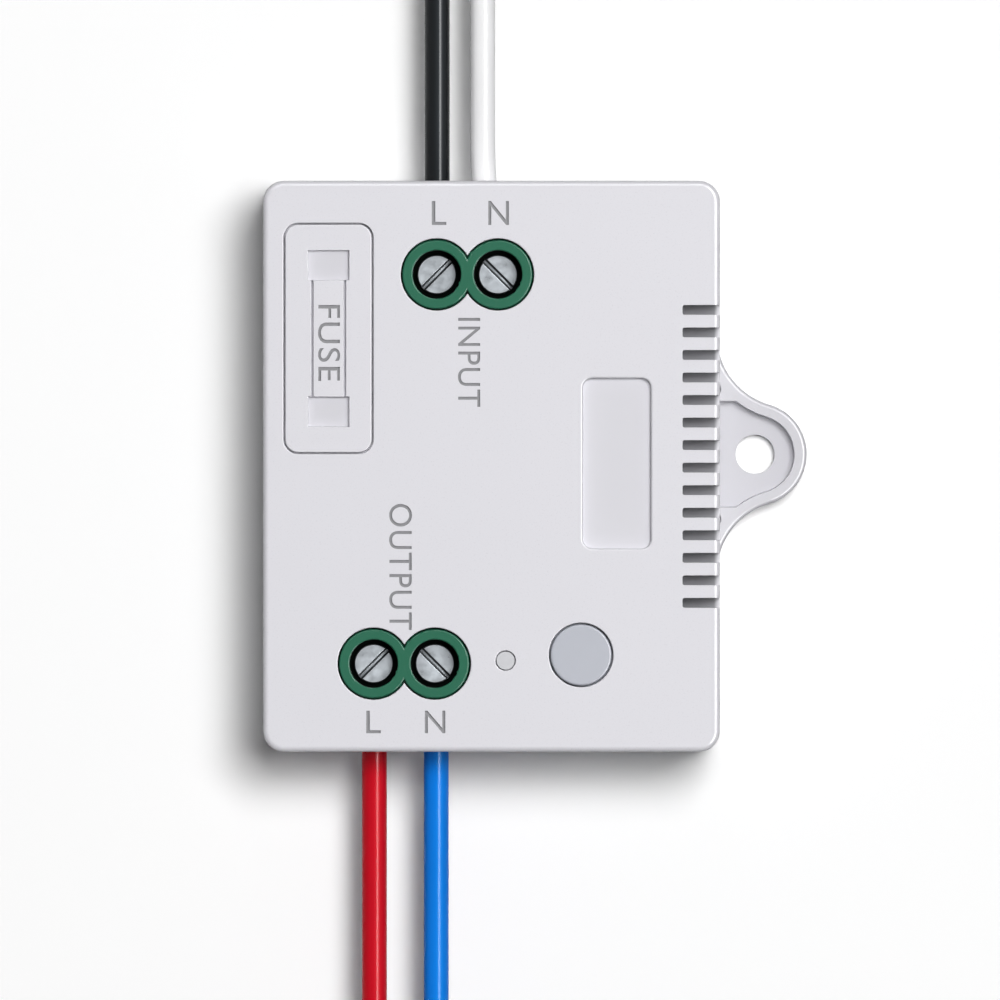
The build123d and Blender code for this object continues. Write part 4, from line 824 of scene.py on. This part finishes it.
def wrapped_film(name, colour, crease):
    """Thin film drawn tight round a part: glossy, with soft creases."""
    material, nodes, links, shader = new_material(name)
    creases = object_noise(nodes, links, 1 / crease, detail=3.0, rough=0.6, stretch=(1, 1, 0.25))
    tint(nodes, links, creases, colour, 0.10, shader.inputs["Base Color"])
    roughen(nodes, links, shader, creases, 0.16, 0.30)
    bumpy(nodes, links, shader, (creases, 0.00002))
    return material


ferrite = ground_ferrite("ferrite")
dress("transformer_core", ferrite)
dress("transformer_winding", wrapped_film("yellow_tape", (0.74, 0.53, 0.07), crease=0.0012))
dress("transformer_base", black_plastic)


# Capacitors and mains filter
# Two electrolytic capacitors in dark shrunk sleeves, a potted film capacitor, a dipped
# varistor and a choke wound on a ferrite drum.
grey_box = moulded_plastic("grey_potting_box", (0.28, 0.29, 0.30), roughness=0.4, grain=0.0003)
blue_dip = moulded_plastic(
    "blue_dipped_epoxy", (0.03, 0.11, 0.38), roughness=0.3, grain=0.0009, depth=0.00002
)
dark_sleeve = wrapped_film("dark_sleeve", (0.022, 0.03, 0.055), crease=0.0015)
dress("bulk_capacitor", dark_sleeve)
dress("reservoir_capacitor", dark_sleeve)
dress("film_capacitor", grey_box)
dress("varistor", blue_dip)
dress("choke_drum", ferrite)
wind("choke_winding", "choke_coil", coil_copper, inner_radius=0.0013, wire_radius=0.00016)


# Rectifier, control chip and radio board
# Black moulded packages with tinned legs, and a small radio board that stands on a pin
# header under a drawn tin shield.
dress("bridge_rectifier", black_plastic)
dress("control_chip", black_plastic)
dress("radio_board", board_green)
dress("radio_shield", tinned_strip)
dress("radio_header", black_plastic)


# Fuse
# A 5 x 20 mm glass fuse: clear tube, nickel-plated brass caps and a thin tinned wire, held
# by two tinned spring clips.


def clear_glass(name):
    """Drawn glass tube with faint ripples."""
    material, nodes, links, shader = new_material(name)
    ripples = object_noise(nodes, links, 700, detail=2.0, rough=0.5)
    shader.inputs["Base Color"].default_value = (0.96, 0.98, 0.98, 1)
    shader.inputs["Transmission Weight"].default_value = 1.0
    shader.inputs["IOR"].default_value = 1.47
    roughen(nodes, links, shader, ripples, 0.0, 0.05)
    bumpy(nodes, links, shader, (ripples, 0.000002))
    return material


dress("fuse_tube", clear_glass("fuse_glass"))
dress("fuse_caps", plated_metal("cap_nickel", (0.74, 0.72, 0.68), roughness=0.16))
dress("fuse_wire", tinned_strip)
dress("fuse_clips", tinned_strip)


# Push switch, lamp and light guide
# A board switch with a nylon plunger, and a lamp of clear resin below a milky guide that
# carries its light up to the face.
dress("tact_switch", black_plastic)
dress("tact_plunger", natural_nylon)


def milky_plastic(name, colour, through):
    """Light-spreading plastic: some light passes, the rest is scattered."""
    material, nodes, links, shader = new_material(name)
    cloud = object_noise(nodes, links, 1400, detail=2.0, rough=0.5)
    tint(nodes, links, cloud, colour, 0.02, shader.inputs["Base Color"])
    shader.inputs["Transmission Weight"].default_value = through
    roughen(nodes, links, shader, cloud, 0.38, 0.48)
    bumpy(nodes, links, shader, (cloud, 0.000002))
    return material


dress("indicator_lamp", milky_plastic("lamp_resin", (0.80, 0.79, 0.66), through=0.4))
dress("light_pipe", milky_plastic("light_guide", (0.525, 0.53, 0.555), through=0.1))


# Cover
# The half with the face: moulded in the same white ABS, with the terminal marks L and N
# and the words INPUT and OUTPUT sunk 0.3 mm into it in plain strokes. The shelf behind the
# cooling slots is painted darker, as painted shade of the inside.
housing_white = (0.660, 0.653, 0.692)
label_shade_white = (0.655, 0.649, 0.687)
shelf_shade_grey = (0.32, 0.32, 0.34)
# Painted shade: the sunk strokes of the marks and words are dark grey, for the shade in them.
mark_shade_grey = (0.175, 0.175, 0.187)
mark_depth = 0.0003
mark_overshoot = 0.0006
mark_spacing = 1.08
shelf_shade_box = ((0.018, -0.022, 0.0152), (0.0273, 0.024, 0.0170))
label_shade_box = ((0.0103, -0.0115, face_height - 0.0014), (0.0205, 0.0122, face_height - 0.0010))
marks = moulded_plastic("sunk_marks", mark_shade_grey, roughness=0.6, grain=0.0002)


def sunk_words(name, words):
    """Blocks in the shape of words, for cutting into the face. Each word has its centre,
    its length and height, and the quarter turns clockwise that it is set at."""
    made = []
    for word, centre, length, height, quarters in words:
        text = bpy.data.curves.new("word", "FONT")
        text.body = word
        text.space_character = mark_spacing
        text.extrude = 0.5
        text.resolution_u = 8
        holder = bpy.data.objects.new("word", text)
        scene.collection.objects.link(holder)
        shape = bpy.data.meshes.new_from_object(
            holder.evaluated_get(bpy.context.evaluated_depsgraph_get())
        )
        bpy.data.objects.remove(holder)
        corners = [vertex.co for vertex in shape.vertices]
        low = [min(c[i] for c in corners) for i in range(3)]
        high = [max(c[i] for c in corners) for i in range(3)]
        to_middle = Matrix.Translation([-(a + b) / 2 for a, b in zip(low, high)])
        thickness = mark_depth + mark_overshoot
        sizes = (length / (high[0] - low[0]), height / (high[1] - low[1]),
                 thickness / (high[2] - low[2]))
        turn = Matrix.Rotation(-math.pi / 2 * quarters, 4, "Z")
        top = face_height + mark_overshoot - thickness / 2
        put = Matrix.Translation((*centre, top))
        shape.transform(put @ turn @ Matrix.Diagonal((*sizes, 1)) @ to_middle)
        made.append(shape)
    joined = bmesh.new()
    for shape in made:
        joined.from_mesh(shape)
    bmesh.ops.remove_doubles(joined, verts=joined.verts, dist=same_point)
    bmesh.ops.recalc_face_normals(joined, faces=joined.faces)
    block = bpy.data.meshes.new(name)
    joined.to_mesh(block)
    joined.free()
    block.materials.append(marks)
    cutter = bpy.data.objects.new(name, block)
    scene.collection.objects.link(cutter)
    return cutter


face_words = sunk_words("face_words", [
    ("L", (-0.00643, 0.03103), 0.00178, 0.00294, 0),
    ("N", (0.00086, 0.03103), 0.00252, 0.00294, 0),
    ("INPUT", (-0.00276, 0.01272), 0.01090, 0.00272, 1),
    ("OUTPUT", (-0.01115, -0.01235), 0.01544, 0.00280, 1),
    ("L", (-0.01446, -0.03134), 0.00178, 0.00276, 0),
    ("N", (-0.00692, -0.03134), 0.00250, 0.00276, 0),
])
cover_plastic = moulded_plastic("cover_plastic", housing_white, roughness=0.30)
# Painted shade on the shelf behind the cooling slots.
paint_shade_inside(cover_plastic, shelf_shade_grey, [shelf_shade_box], soft=0.0006)
# Painted shade: the floor of the label recess gets a slightly darker, dull colour.
paint_shade_inside(cover_plastic, label_shade_white, [label_shade_box], soft=0.0002)
cover = moulded_copy("top_cover", "cover", cover_plastic, edge_rounding, face_words)
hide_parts("top_cover")
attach(cover, "housing")


# Fuse door
# A plug-in lid of the same plastic with two finger grooves, two fine lines and the word
# FUSE sunk between them.
groove_shade_white = (0.610, 0.604, 0.640)
groove_shade_levels = (face_height - 0.0012, face_height - 0.0008)
door_rounding = 0.00006
door_words = sunk_words("door_words", [("FUSE", (-0.01991, 0.01510), 0.00930, 0.00270, 1)])
door_plastic = moulded_plastic("door_plastic", housing_white, roughness=0.30)
door_low, door_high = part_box("fuse_door")
groove_shade_box = ((*door_low[:2], groove_shade_levels[0]), (*door_high[:2], groove_shade_levels[1]))
# Painted shade: the floors of the finger grooves get a darker, dull colour.
paint_shade_inside(door_plastic, groove_shade_white, [groove_shade_box], soft=0.0002)
door = moulded_copy("fuse_door", "door", door_plastic, door_rounding, door_words)
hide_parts("fuse_door")
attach(door, "fuse_door")


# Button
# A satin blue-grey cap that presses the board switch.
button_plastic = moulded_plastic(
    "button_plastic", (0.390, 0.405, 0.455), roughness=0.36, grain=0.0002
)
button = moulded_copy("button_cap", "push_button", button_plastic, edge_rounding)
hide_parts("button_cap")
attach(button, "button")
